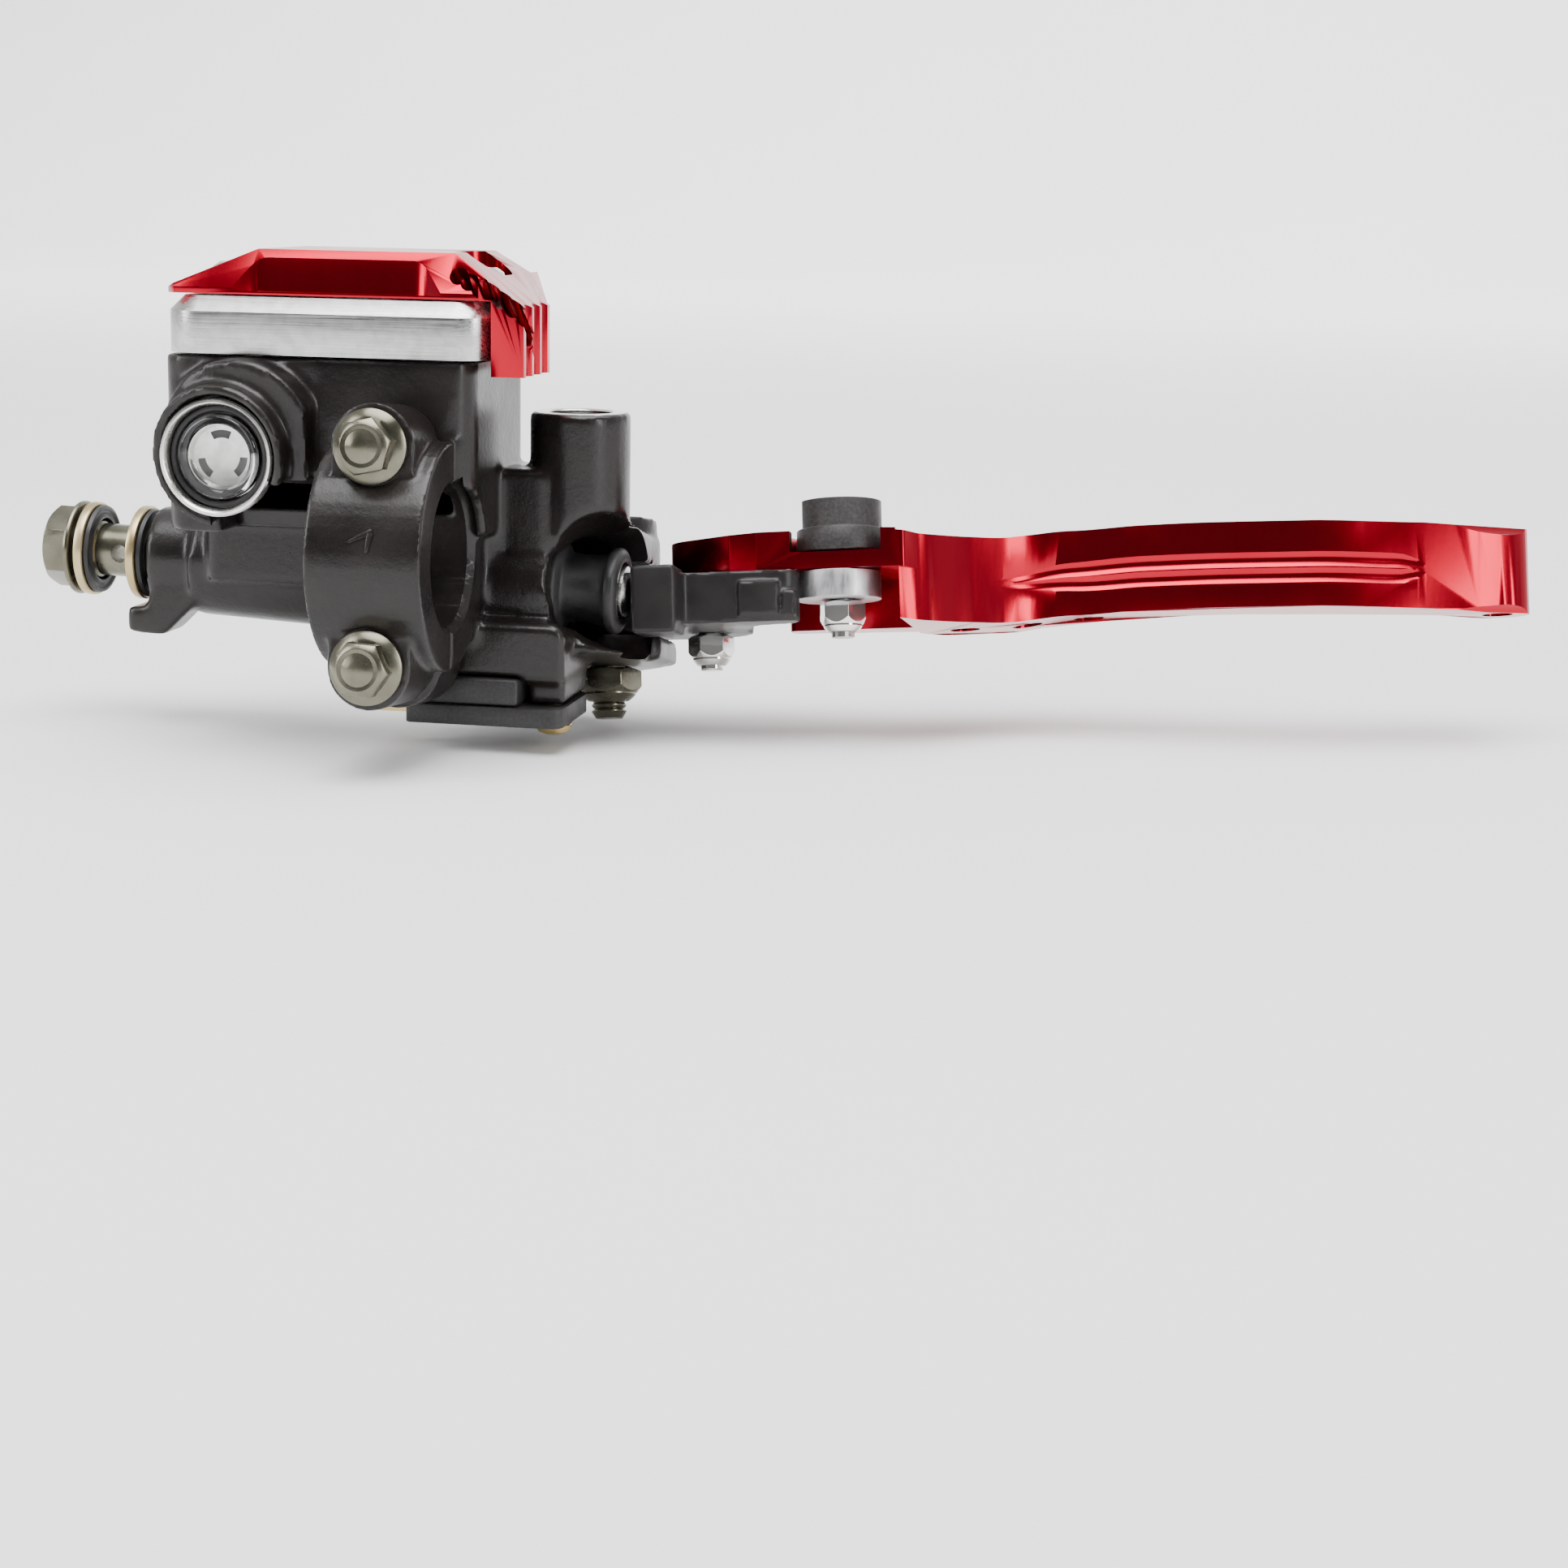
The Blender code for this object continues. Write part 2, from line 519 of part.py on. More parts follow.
def make_diaphragm():
    ledge = SPACER_TOP - REBATE_DEPTH + GAP
    flange = rounded_box(WORLD, RES_INNER_LEFT - 1.0, RES_INNER_RIGHT + 0.4, RES_FRONT + 2.4,
                         RES_BACK - 2.4, ledge, ledge + 0.9, RES_CORNER_R)
    tray = rounded_box(WORLD, RES_INNER_LEFT + 1.0, RES_INNER_RIGHT - 1.0, RES_FRONT + 4.0,
                       RES_BACK - 4.0, 32.5, ledge + 0.5, 2.5)
    hollow = rounded_box(WORLD, RES_INNER_LEFT + 2.2, RES_INNER_RIGHT - 2.2, RES_FRONT + 5.2,
                         RES_BACK - 5.2, 33.7, ledge + 4.0, 1.6)
    return combine("diaphragm", WORLD, RUBBER, flange, [tray], [hollow])


def make_diaphragm_plate():
    low = SPACER_TOP - REBATE_DEPTH + 2 * GAP + 0.9
    sheet = rounded_box(WORLD, RES_INNER_LEFT - 1.0, RES_INNER_RIGHT + 0.4, RES_FRONT + 2.4,
                        RES_BACK - 2.4, low, SPACER_TOP, RES_CORNER_R)
    vent = rod(WORLD, 1.5, 30.0, 45.0, (-11.0, SCREW_Y), segments=20)
    return combine("diaphragm_plate", WORLD, STEEL, sheet, (), [vent])


def make_cap():
    low = SPACER_TOP + GAP
    section = [
        (SPACER_LEFT, low), (SPACER_RIGHT + GAP, low), (SPACER_RIGHT + GAP, EAR_BOTTOM),
        (CAP_RIGHT, EAR_BOTTOM), (CAP_RIGHT, CAP_RIGHT_EDGE), (CAP_FLAT_RIGHT, CAP_TOP),
        (CAP_FLAT_LEFT, CAP_TOP), (SPACER_LEFT, CAP_LEFT_EDGE),
    ]
    slab = plate(WORLD, section, -SPACER_BACK, -SPACER_FRONT, TURN_TO_FRONT)
    corners = [
        [(11.0, -1.0), (30.0, -1.0), (30.0, EAR_FRONT), (SPACER_RIGHT - 1.0, EAR_FRONT)],
        [(CAP_RIGHT - 0.4, EAR_BACK), (30.0, EAR_BACK), (30.0, 40.0), (11.0, 40.0)],
        [(-50.0, -1.0), (-35.0, -1.0), (-35.5, 1.0), (-39.9, 5.5), (-50.0, 5.5)],
        [(-50.0, 40.0), (-35.0, 40.0), (-35.5, 37.0), (-39.9, 32.5), (-50.0, 32.5)],
    ]
    corner_cuts = [plate(WORLD, outline, 20.0, 60.0) for outline in corners]
    under = rounded_box(WORLD, 0.0, SPACER_RIGHT + GAP, -4.0, 42.0, 20.0, low - 0.01, 0.2)
    foot, reach = low + 1.0, 60.0
    slope_outline = [(1 - low, -2.0), (1 - low, CAP_FRONT), (-foot, CAP_FRONT),
                     (-reach, CAP_FRONT + CAP_SLOPE * (reach - foot)), (-reach, -2.0)]
    front_slope = plate(WORLD, slope_outline, -60.0, SPACER_RIGHT - 1.5, TURN_TO_X)
    back_slope = plate(WORLD, [(u, CAP_MIDDLE - v) for u, v in slope_outline],
                       -60.0, SPACER_RIGHT - 1.5, TURN_TO_X)
    pocket_outline = rounded_outline([
        (-31.0, 2.0, 0.3), (-24.6, CAP_POCKET, 5.0), (2.4, CAP_POCKET, 5.0), (8.8, 2.0, 0.3),
    ])
    front_pocket = plate(WORLD, pocket_outline, low + 0.5, reach)
    back_pocket = plate(WORLD, [(x, CAP_MIDDLE - y) for x, y in pocket_outline], low + 0.5, reach)
    wells = [plate(WORLD, rounded_outline([
        (x - 4.0, SCREW_Y - 5.5, 3.9), (x + 4.0, SCREW_Y - 5.5, 3.9), (x + 4.0, SCREW_Y + 5.5, 3.9),
        (x - 4.0, SCREW_Y + 5.5, 3.9)]), 42.6, 60.0) for x in SCREW_X]
    holes = [rod(WORLD, 2.2, 35.0, 50.0, (x, SCREW_Y), segments=20) for x in SCREW_X]
    flutes = [rod(WORLD, 2.3, 20.0, 60.0, (CAP_RIGHT + 1.5, y), segments=24)
              for y in (EAR_FRONT + 3.1, (EAR_FRONT + EAR_BACK) / 2, EAR_BACK - 3.1)]
    cuts = corner_cuts + [under, front_slope, back_slope, front_pocket, back_pocket]
    cuts += wells + holes + flutes
    return combine("reservoir_cap", WORLD, RED_ANODISED, slab, (), cuts)


def make_cap_screw(name, x):
    head = rod(WORLD, 3.5, 42.6 + GAP, 44.6, (x, SCREW_Y), segments=28, end_radius=2.6)
    shank = rod(WORLD, 1.7, 20.5, 43.2, (x, SCREW_Y), segments=16)
    socket = plate(WORLD, [(px + x, py + SCREW_Y) for px, py in hex_outline(2.5)], 43.4, 46.0)
    return combine(name, WORLD, CHROME, head, [shank], [socket])


# The sight glass, built outwards from the boss face

def make_sight_glass():
    turn_out = (pi / 2, 0, 0)
    pieces = [
        turned("sight_glass_ring", GLASS, BARE_ALUMINIUM,
               [(0.2, 8.7), (-0.1, 9.35), (-1.6, 9.35), (-1.6, 8.3), (-0.2, 8.3)], 48, False),
        turned("sight_glass_oring", GLASS, RUBBER,
               [(-0.9, 7.5), (-1.3, 8.0), (-2.5, 8.0), (-2.9, 7.5), (-2.5, 7.1), (-1.3, 7.1)], 40, False),
        turned("sight_glass_lens", GLASS, CLEAR,
               [(-0.6, 0.0), (-0.7, 6.0), (-1.2, 6.8), (-3.9, 6.8), (-3.9, 5.6), (-1.8, 5.4), (-1.8, 0.0)],
               40, False),
    ]
    for piece in pieces:
        piece.rotation_euler = turn_out
    disc = rod(GLASS, 5.1, -3.7, -3.2, turn=TURN_TO_FRONT, segments=40)
    slots = []
    for k in range(3):
        start = radians(64 + 120 * k)
        outline = circle((0, 0), 4.1, 8, start, radians(52)) + circle((0, 0), 2.9, 8, start + radians(52),
                                                                      radians(-52))
        slots.append(plate(GLASS, outline, -6.0, 0.0, TURN_TO_FRONT))
    combine("sight_glass_reflector", GLASS, STEEL, disc, (), slots)


# The outlet: banjo bolt and its two bonded seals

def make_banjo_bolt():
    head = plate(AXIS, hex_outline(12.0), -70.4, -65.2, TURN_TO_X)
    flange = rod(AXIS, 8.0, -65.9, -64.7, turn=TURN_TO_X)
    shank = rod(AXIS, BOLT_SHANK_R, -65.0, -38.5, turn=TURN_TO_X)
    cross = rod(AXIS, 1.5, -20.0, 20.0, (-56.9, 0), TURN_TO_FRONT, 22)
    slot = block(AXIS, (-60.2, -6.0, -2.0), (-54.8, -4.3, 2.0))
    slot_back = block(AXIS, (-60.2, 4.3, -2.0), (-54.8, 6.0, 2.0))
    drilling = rod(AXIS, 1.9, -57.5, -30.0, turn=TURN_TO_X, segments=20)
    return combine("banjo_bolt", AXIS, OLIVE_ZINC, flange, [head, shank],
                   [cross, slot, slot_back, drilling])


def make_seal(prefix, left):
    turned(prefix + "_ring", AXIS, YELLOW_ZINC,
           [(left + 1.6, 6.3), (left + 1.6, SEAL_R), (left, SEAL_R), (left, 6.3)])
    turned(prefix + "_rubber", AXIS, RUBBER,
           [(left + 2.6, 5.3), (left + 2.6, 7.4), (left + 1.9, 7.6), (left + 1.9, 6.0), (left + 0.1, 6.0),
            (left + 0.1, 5.3)])


# Inside the bore

def helix(start, end, radius, turns, per_turn=12):
    count = int(turns * per_turn)
    return [(start + (end - start) * k / count, radius * cos(2 * pi * k / per_turn),
             radius * sin(2 * pi * k / per_turn)) for k in range(count + 1)]


def make_hydraulics():
    turned("piston", AXIS, BARE_ALUMINIUM, [
        (31.3, 0), (31.3, 3.5), (30.7, 4.2), (15.0, 4.2), (15.0, 6.15), (12.4, 6.15), (12.4, 4.6),
        (9.6, 4.6), (9.6, 6.15), (4.5, 6.15), (4.5, 3.8), (-2.5, 3.8), (-2.5, 6.15), (-5.0, 6.15),
        (-5.0, 0)])
    turned("secondary_cup", AXIS, RUBBER, [(12.1, 5.6), (11.4, 6.2), (9.9, 6.2), (9.9, 4.9), (12.1, 4.9)])
    turned("primary_cup", AXIS, RUBBER, [
        (-5.3, 0), (-5.3, 6.0), (-8.4, 6.2), (-8.4, 5.3), (-6.7, 4.6), (-6.7, 0)])
    wire("piston_spring", AXIS, STEEL, helix(-33.2, -9.4, 3.9, 8), 0.5)
    turned("piston_washer", AXIS, STEEL, [(16.1, 4.6), (16.1, 6.1), (15.3, 6.1), (15.3, 4.6)])
    clip = [circle((0, 0), 6.9, 28, radians(20), radians(320)),
            circle((0, 0), 5.3, 28, radians(340), radians(-320))]
    add_object("piston_circlip", plate_mesh(clip[0] + clip[1], 16.5, 17.2, TURN_TO_X), AXIS, STEEL)
    turned("dust_boot", AXIS, RUBBER, [
        (30.2, 4.8), (30.2, 6.4), (29.6, 7.15), (28.4, 7.15), (27.6, 6.3), (24.0, 5.7), (20.6, 5.9),
        (19.9, 7.7), (18.8, 7.7), (18.8, 5.0), (28.0, 4.8)])


# Lever, knuckle and their pins

def knuckle_outline():
    return rounded_outline([
        (8.9, -21.5, 0.8), (16.4, -21.5, 0.8), (17.2, -17.6, 1.0),
        (NOSE_CENTRE[0] + NOSE_R, -17.0, NOSE_R - 0.1),
        (NOSE_CENTRE[0] + NOSE_R, NOSE_CENTRE[1] + 2.34, NOSE_R), (28.0, -9.66, 3.0), (25.5, -3.0, 3.0),
        (25.2, 8.2, 7.0), (12.0, 8.2, 4.0), (0.0, 8.0, 0.5), (-5.7, 5.7, 2.5), (-8.0, 0.0, 3.0),
        (HEEL[0] - HEEL_R, HEEL[1] + HEEL_R, 2.0), (HEEL[0] - HEEL_R, HEEL[1] - HEEL_R, 2.0),
        (HEEL[0] + HEEL_R, HEEL[1] - HEEL_R, 1.0), (-5.0, -7.4, 1.5), (0.0, -8.2, 2.0), (7.9, -8.8, 1.0),
        (8.9, -12.5, 0.8),
    ], 4)


def make_knuckle():
    web = plate(LEVER, knuckle_outline(), KNUCKLE_BOTTOM, KNUCKLE_TOP)
    hub = rod(LEVER, HUB_R - 0.2, -5.85, 5.85, segments=40)
    pusher = block(LEVER, (8.9, -21.6, -7.2), (16.3, -13.0, 4.0), 0.5)
    hub_bore = rod(LEVER, 4.6, -10.0, 10.0, segments=32)
    pin_hole = rod(LEVER, 2.3, -10.0, 10.0, HANDLE_PIN, segments=24)
    spring_seat = rod(LEVER, 5.7, 0.9, 6.0, HANDLE_PIN, segments=32)
    return combine("lever_knuckle", LEVER, BLACK_PAINT, web, [hub, pusher],
                   [hub_bore, pin_hole, spring_seat])


def make_pivot():
    top = UPPER_EAR_TOP - 3.6 + GAP
    head = rod(LEVER, 5.2, top, top + 2.7, segments=32, end_radius=4.8)
    shank = rod(LEVER, PIVOT_R, -19.6, top + 0.5, segments=28)
    driver = block(LEVER, (-6.0, -0.6, top + 1.4), (6.0, 0.6, top + 5.0))
    combine("pivot_bolt", LEVER, OLIVE_ZINC, head, [shank], [driver])
    turned("pivot_bush", LEVER, STEEL, [(5.9, 3.3), (5.9, 4.3), (-5.9, 4.3), (-5.9, 3.3)], 32, False)
    make_nut("pivot_nut", LEVER, OLIVE_ZINC, 10.0, LOWER_EAR_BOTTOM - GAP, 5.5, PIVOT_R + 0.25, radians(5))


def make_nut(name, frame, mat, flats, top, height, hole_r, turn=0.0):
    body = plate(frame, hex_outline(flats, turn), top - height * 0.8, top)
    collar = rod(frame, flats / 2 - 0.5, top - height, top - height * 0.5, segments=32,
                 end_radius=flats / 2 - 0.15)
    hole = rod(frame, hole_r, top - height - 2, top + 2, segments=24)
    return combine(name, frame, mat, body, [collar], [hole])


def smooth_side(stations, per_span=5):
    """A smooth line through stations, as a Catmull-Rom curve."""
    points = [Vector(p) for p in stations]
    points = [2 * points[0] - points[1]] + points + [2 * points[-1] - points[-2]]
    line = []
    for a, b, c, d in zip(points, points[1:], points[2:], points[3:]):
        for k in range(per_span):
            t = k / per_span
            line.append(0.5 * ((2 * b) + (c - a) * t + (2 * a - 5 * b + 4 * c - d) * t ** 2
                               + (3 * b - a - 3 * c + d) * t ** 3))
    return line + [points[-2]]


def bar_outline():
    """The grip bar seen along the pivot: rider's side out to the tip, then back along the far side."""
    rider = smooth_side([(BAR_START, -13.0), (57.0, -9.5), (64.0, -2.0), (74.0, 4.4), (88.0, 6.4),
                         (104.0, 5.6), (120.0, 7.0), (136.0, 11.4), (148.0, 16.0)])
    tip = smooth_side([(148.0, 16.0), (153.5, 18.8), (156.4, 22.6), (154.6, 26.6), (150.0, 27.6)], 4)
    far = smooth_side([(150.0, 27.6), (138.0, 23.6), (122.0, 19.2), (104.0, 17.4), (86.0, 18.4),
                       (70.0, 18.6), (60.0, 16.6), (BAR_START, 14.0)])
    return rider + tip[1:] + far[1:]


def make_handle():
    offset = (-HANDLE_PIN[0], -HANDLE_PIN[1])
    outline = [(x + offset[0], y + offset[1]) for x, y in bar_outline()]
    bar = plate(HANDLE, outline, BAR_BOTTOM, BAR_TOP)
    deck = plate(LEVER, rounded_outline([
        (12.0, -5.5, 7.0), (24.0, -12.5, 4.0), (29.0, -14.4, 1.0), (BAR_START + 1, -14.4, 1.0),
        (58.0, -6.0, 3.0), (58.0, 12.0, 3.0), (40.0, 11.0, 8.0), (24.0, 9.4, 6.0), (12.0, 9.0, 6.5),
    ]), PLATE_BOTTOM, PLATE_TOP)
    back_wall = plate(LEVER, rounded_outline([
        (31.0, 5.4, 1.0), (BAR_START + 2, 5.3, 0.5), (BAR_START + 2, 13.1, 0.5), (31.0, 10.0, 2.0)
    ]), BAR_BOTTOM + 0.15, PLATE_BOTTOM + 1)
    pocket = rod(LEVER, POCKET_R, POCKET_FLOOR, 20.0, KNOB_PIN, segments=40)
    mouth = block(LEVER, (34.6, -20.0, POCKET_FLOOR + 0.05), (49.8, -8.5, 20.0))
    step = block(LEVER, (50.9, -20.0, BAR_TOP - 0.25), (70.0, 20.0, 20.0))
    pin_hole = rod(LEVER, 2.3, -10.0, 30.0, HANDLE_PIN, segments=24)
    head_recess = rod(LEVER, 4.1, 6.5, 20.0, HANDLE_PIN, segments=28)
    knob_hole = rod(LEVER, 2.4, 0.0, 20.0, KNOB_PIN, segments=24)
    drillings = [rod(LEVER, 2.6, BAR_BOTTOM - 2, BAR_BOTTOM + 9, centre, segments=24)
                 for centre in ((61.0, 8.6), (71.5, 11.2), (82.0, 12.2), (151.0, 22.0))]
    return combine("lever_handle", HANDLE, RED_ANODISED, bar, [deck, back_wall],
                   [pocket, mouth, step, pin_hole, head_recess, knob_hole] + drillings)


def make_handle_pin():
    head = rod(HANDLE, 3.7, 6.5 + GAP, 9.1, segments=28, end_radius=3.0)
    shank = rod(HANDLE, 2.0, -11.9, 7.1, segments=20)
    socket = plate(HANDLE, hex_outline(2.5), 7.7, 12.0)
    combine("handle_bolt", HANDLE, CHROME, head, [shank], [socket])
    make_nut("handle_nut", HANDLE, CHROME, 7.0, KNUCKLE_BOTTOM - GAP, 5.2, 2.25, radians(12))
    turn = [(4.7 * cos(t), 4.7 * sin(t), 1.45 + 0.9 * t / (2 * pi))
            for t in (k * pi / 10 for k in range(19))]
    wire("handle_spring", HANDLE, STEEL, turn, 0.3)


def cam_outline():
    """The cam's edge about its own axis: it keeps the same gap to the knuckle's nose at every setting."""
    knob = Vector(KNOB_PIN) - Vector(HANDLE_PIN)
    nose = Vector(NOSE_CENTRE) - Vector(HANDLE_PIN)
    steps = 30
    working = []
    for k in range(steps + 1):
        reach = REACH_TRAVEL * k / steps
        here = Matrix.Rotation(reach, 2) @ nose - knob
        working.append((atan2(here.y, here.x) + KNOB_TRAVEL * k / steps, here.length - NOSE_R - GAP))
    first, last = working[0], working[-1]
    back = []
    for k in range(1, 12):
        t = k / 12
        ease = t * t * (3 - 2 * t)
        back.append((last[0] + (first[0] + 2 * pi - last[0]) * t, last[1] + (first[1] - last[1]) * ease))
    return [(r * cos(angle), r * sin(angle)) for angle, r in working + back]


def make_adjuster():
    cam = plate(KNOB, cam_outline(), CAM_BOTTOM, CAM_TOP)
    cam_hole = rod(KNOB, 2.3, -10.0, 10.0, segments=24)
    combine("adjuster_cam", KNOB, BARE_ALUMINIUM, cam, (), [cam_hole])
    collar = rod(KNOB, KNOB_R, KNOB_BOTTOM, KNOB_STEP, segments=44)
    grip = plate(KNOB, circle((0, 0), 6.9, 30, radians(-150), radians(300)), KNOB_STEP - 0.5, KNOB_TOP,
                 chamfer=0.6)
    screw_well = rod(KNOB, 2.3, 0.0, 12.1, segments=24)
    detent_hole = rod(KNOB, 1.3, 0.0, 11.1, DETENT, segments=16)
    combine("adjuster_knob", KNOB, PLASTIC, collar, [grip], [screw_well, detent_hole])
    add_object("adjuster_screw", rod(KNOB, 1.95, -7.9, 11.7, segments=20).data.copy(), KNOB, STEEL)
    make_nut("adjuster_nut", KNOB, CHROME, 7.0, CAM_BOTTOM - GAP, 5.2, 2.25, radians(-8))
    bm = bmesh.new()
    bmesh.ops.create_uvsphere(bm, u_segments=14, v_segments=8, radius=0.95 * MM,
                              matrix=Matrix.Translation(Vector((*DETENT, KNOB_BOTTOM + 1.1)) * MM))
    add_object("detent_ball", mesh_from(bm, "detent_ball"), KNOB, STEEL)
    coil = [(DETENT[0] + 0.7 * cos(t), DETENT[1] + 0.7 * sin(t), KNOB_BOTTOM + 2.5 + 2.0 * t / (6 * pi))
            for t in (k * pi / 4 for k in range(25))]
    wire("detent_spring", KNOB, STEEL, coil, 0.15)


# Brake light switch

def make_switch():
    case = block(WORLD, (SWITCH_LEFT, SWITCH_FRONT, SWITCH_SPLIT + GAP),
                 (SWITCH_STEP_X, SWITCH_BACK, SWITCH_TOP), 0.6)
    tail = block(WORLD, (8.0, SWITCH_BACK - 3, SWITCH_SPLIT + GAP),
                 (SWITCH_STEP_X, SWITCH_TAIL, SWITCH_TAIL_TOP))
    guide = rod(LEVER, 1.5, -20.0, -6.0, HEEL, segments=16)
    combine("brake_switch_case", WORLD, PLASTIC, case, [tail], [guide])
    lid = plate(WORLD, rounded_outline([
        (SWITCH_LEFT - 0.5, SWITCH_FRONT, 1.0), (SWITCH_RIGHT, SWITCH_FRONT, 1.6),
        (SWITCH_RIGHT, SWITCH_BACK, 3.0), (SWITCH_STEP_X, SWITCH_BACK, 1.0),
        (SWITCH_STEP_X, SWITCH_TAIL, 1.0), (8.0, SWITCH_TAIL, 1.0), (8.0, SWITCH_BACK, 1.0),
        (SWITCH_LEFT - 0.5, SWITCH_BACK, 1.0),
    ], 3), SWITCH_BOTTOM, SWITCH_SPLIT)
    screw_hole = rod(WORLD, 1.7, -35.0, -20.0, SWITCH_SCREW, segments=16)
    slots = [block(WORLD, (SWITCH_LEFT - 2, y - 1.9, -28.2), (4.0, y + 1.9, -26.9)) for y in (16.0, 25.0)]
    combine("brake_switch_lid", WORLD, PLASTIC, lid, (), [screw_hole] + slots)
    head = rod(WORLD, 2.2, SWITCH_BOTTOM - GAP - 1.9, SWITCH_BOTTOM - GAP, SWITCH_SCREW, segments=28,
               end_radius=3.1)
    shank = rod(WORLD, 1.1, SWITCH_BOTTOM - 1.0, -19.0, SWITCH_SCREW, segments=14)
    cross = block(WORLD, (SWITCH_SCREW[0] - 1.6, SWITCH_SCREW[1] - 0.3, -33.0),
                  (SWITCH_SCREW[0] + 1.6, SWITCH_SCREW[1] + 0.3, SWITCH_BOTTOM - 1.5))
    combine("switch_screw", WORLD, BRASS, head, [shank], [cross])
    rod_mesh = rod(LEVER, 1.1, -11.9, KNUCKLE_BOTTOM - GAP, HEEL, segments=16).data.copy()
    add_object("switch_plunger", rod_mesh, LEVER, BRASS)
    for name, y in (("switch_terminal_front", 16.0), ("switch_terminal_rear", 25.0)):
        blade = block(WORLD, (-8.0, y - 1.5, -27.9), (3.6, y + 1.5, -27.2))
        add_object(name, blade.data.copy(), WORLD, BRASS)


make_body()
make_clamp_cap()
make_clamp_bolt("clamp_bolt_upper", 1)
make_clamp_bolt("clamp_bolt_lower", -1)
make_spacer()
make_diaphragm()
make_diaphragm_plate()
make_cap()
make_cap_screw("cap_screw_left", SCREW_X[0])
make_cap_screw("cap_screw_right", SCREW_X[1])
make_sight_glass()
make_banjo_bolt()
make_seal("outer_seal", SEAL_LEFT[0])
make_seal("inner_seal", SEAL_LEFT[1])
make_hydraulics()
make_knuckle()
make_pivot()
make_handle()
make_handle_pin()
make_adjuster()
make_switch()
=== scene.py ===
import bmesh
import bpy
import json
from math import cos, pi, radians, sin
from mathutils import Matrix, Vector


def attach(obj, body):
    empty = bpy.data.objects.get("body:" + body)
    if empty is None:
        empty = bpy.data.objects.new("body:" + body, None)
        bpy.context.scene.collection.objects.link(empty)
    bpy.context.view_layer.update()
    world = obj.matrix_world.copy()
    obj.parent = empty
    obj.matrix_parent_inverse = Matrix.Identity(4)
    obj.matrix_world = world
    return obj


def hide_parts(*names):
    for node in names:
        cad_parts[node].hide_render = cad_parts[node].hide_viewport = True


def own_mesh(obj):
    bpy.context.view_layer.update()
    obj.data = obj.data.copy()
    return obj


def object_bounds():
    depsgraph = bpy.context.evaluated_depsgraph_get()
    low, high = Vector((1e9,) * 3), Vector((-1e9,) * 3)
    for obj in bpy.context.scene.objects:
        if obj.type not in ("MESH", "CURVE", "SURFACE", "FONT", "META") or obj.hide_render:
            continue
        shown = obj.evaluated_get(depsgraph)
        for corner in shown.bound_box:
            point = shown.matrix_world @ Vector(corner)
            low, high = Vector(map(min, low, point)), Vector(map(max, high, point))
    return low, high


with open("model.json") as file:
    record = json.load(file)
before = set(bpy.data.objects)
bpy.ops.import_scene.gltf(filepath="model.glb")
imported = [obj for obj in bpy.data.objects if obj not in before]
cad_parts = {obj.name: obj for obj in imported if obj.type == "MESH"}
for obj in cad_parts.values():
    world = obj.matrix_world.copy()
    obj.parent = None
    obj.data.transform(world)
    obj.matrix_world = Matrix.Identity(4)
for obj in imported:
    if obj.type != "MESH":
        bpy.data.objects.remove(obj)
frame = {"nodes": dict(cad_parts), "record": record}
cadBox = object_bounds()
joints = {joint["name"]: joint for joint in frame["record"]["behaviour"]["joints"]}

# Shapes are drawn in millimetres in one of these frames, then placed in metres.
zToX = Matrix.Rotation(pi / 2, 4, "Y")           # a shape drawn along +Z, laid along +X
zToFront = Matrix.Rotation(pi / 2, 4, "X")       # the same, pointing at the rider


def leverFrame(joint):
    out = Vector(joint["axis"]).normalized()
    across = (Vector((1, 0, 0)) - out.x * out).normalized()
    turn = Matrix((across, out.cross(across), out)).transposed().to_4x4()
    return Matrix.Translation(Vector(joint["pos_m"]) * 1000) @ turn


worldFrame = Matrix.Identity(4)
clampFrame = Matrix.Rotation(radians(-5.0), 4, "X")
boreFrame = Matrix.Translation((0, 28.0, -7.15)) @ Matrix.Rotation(radians(2.1), 4, "Y") @ zToX
lever = leverFrame(joints["lever_squeeze"])
handlePin = leverFrame(joints["handle_reach"])
adjusterPin = leverFrame(joints["adjuster_turn"])
glassFrame = Matrix.Translation((-28.4, -4.0, 14.7)) @ zToFront
print("frame loaded")


# Materials. Patterns read Object coordinates, which are metres.
def newFinish(name, color, roughness, metallic=0.0, coat=0.0, coatRoughness=0.1, specular=0.5):
    mat = bpy.data.materials.new(name)
    mat.use_nodes = True
    shader = mat.node_tree.nodes["Principled BSDF"]
    shader.inputs["Base Color"].default_value = (*color, 1)
    shader.inputs["Roughness"].default_value = roughness
    shader.inputs["Metallic"].default_value = metallic
    shader.inputs["Coat Weight"].default_value = coat
    shader.inputs["Coat Roughness"].default_value = coatRoughness
    shader.inputs["Specular IOR Level"].default_value = specular
    return mat, shader


def addNoise(mat, scale, detail=3.0, stretch=(1, 1, 1), turn=(0, 0, 0)):
    nodes, links = mat.node_tree.nodes, mat.node_tree.links
    coords = nodes.new("ShaderNodeTexCoord")
    mapping = nodes.new("ShaderNodeMapping")
    mapping.inputs["Scale"].default_value = stretch
    mapping.inputs["Rotation"].default_value = turn
    noise = nodes.new("ShaderNodeTexNoise")
    noise.inputs["Scale"].default_value = scale
    noise.inputs["Detail"].default_value = detail
    links.new(coords.outputs["Object"], mapping.inputs["Vector"])
    links.new(mapping.outputs["Vector"], noise.inputs["Vector"])
    return noise.outputs["Fac"]


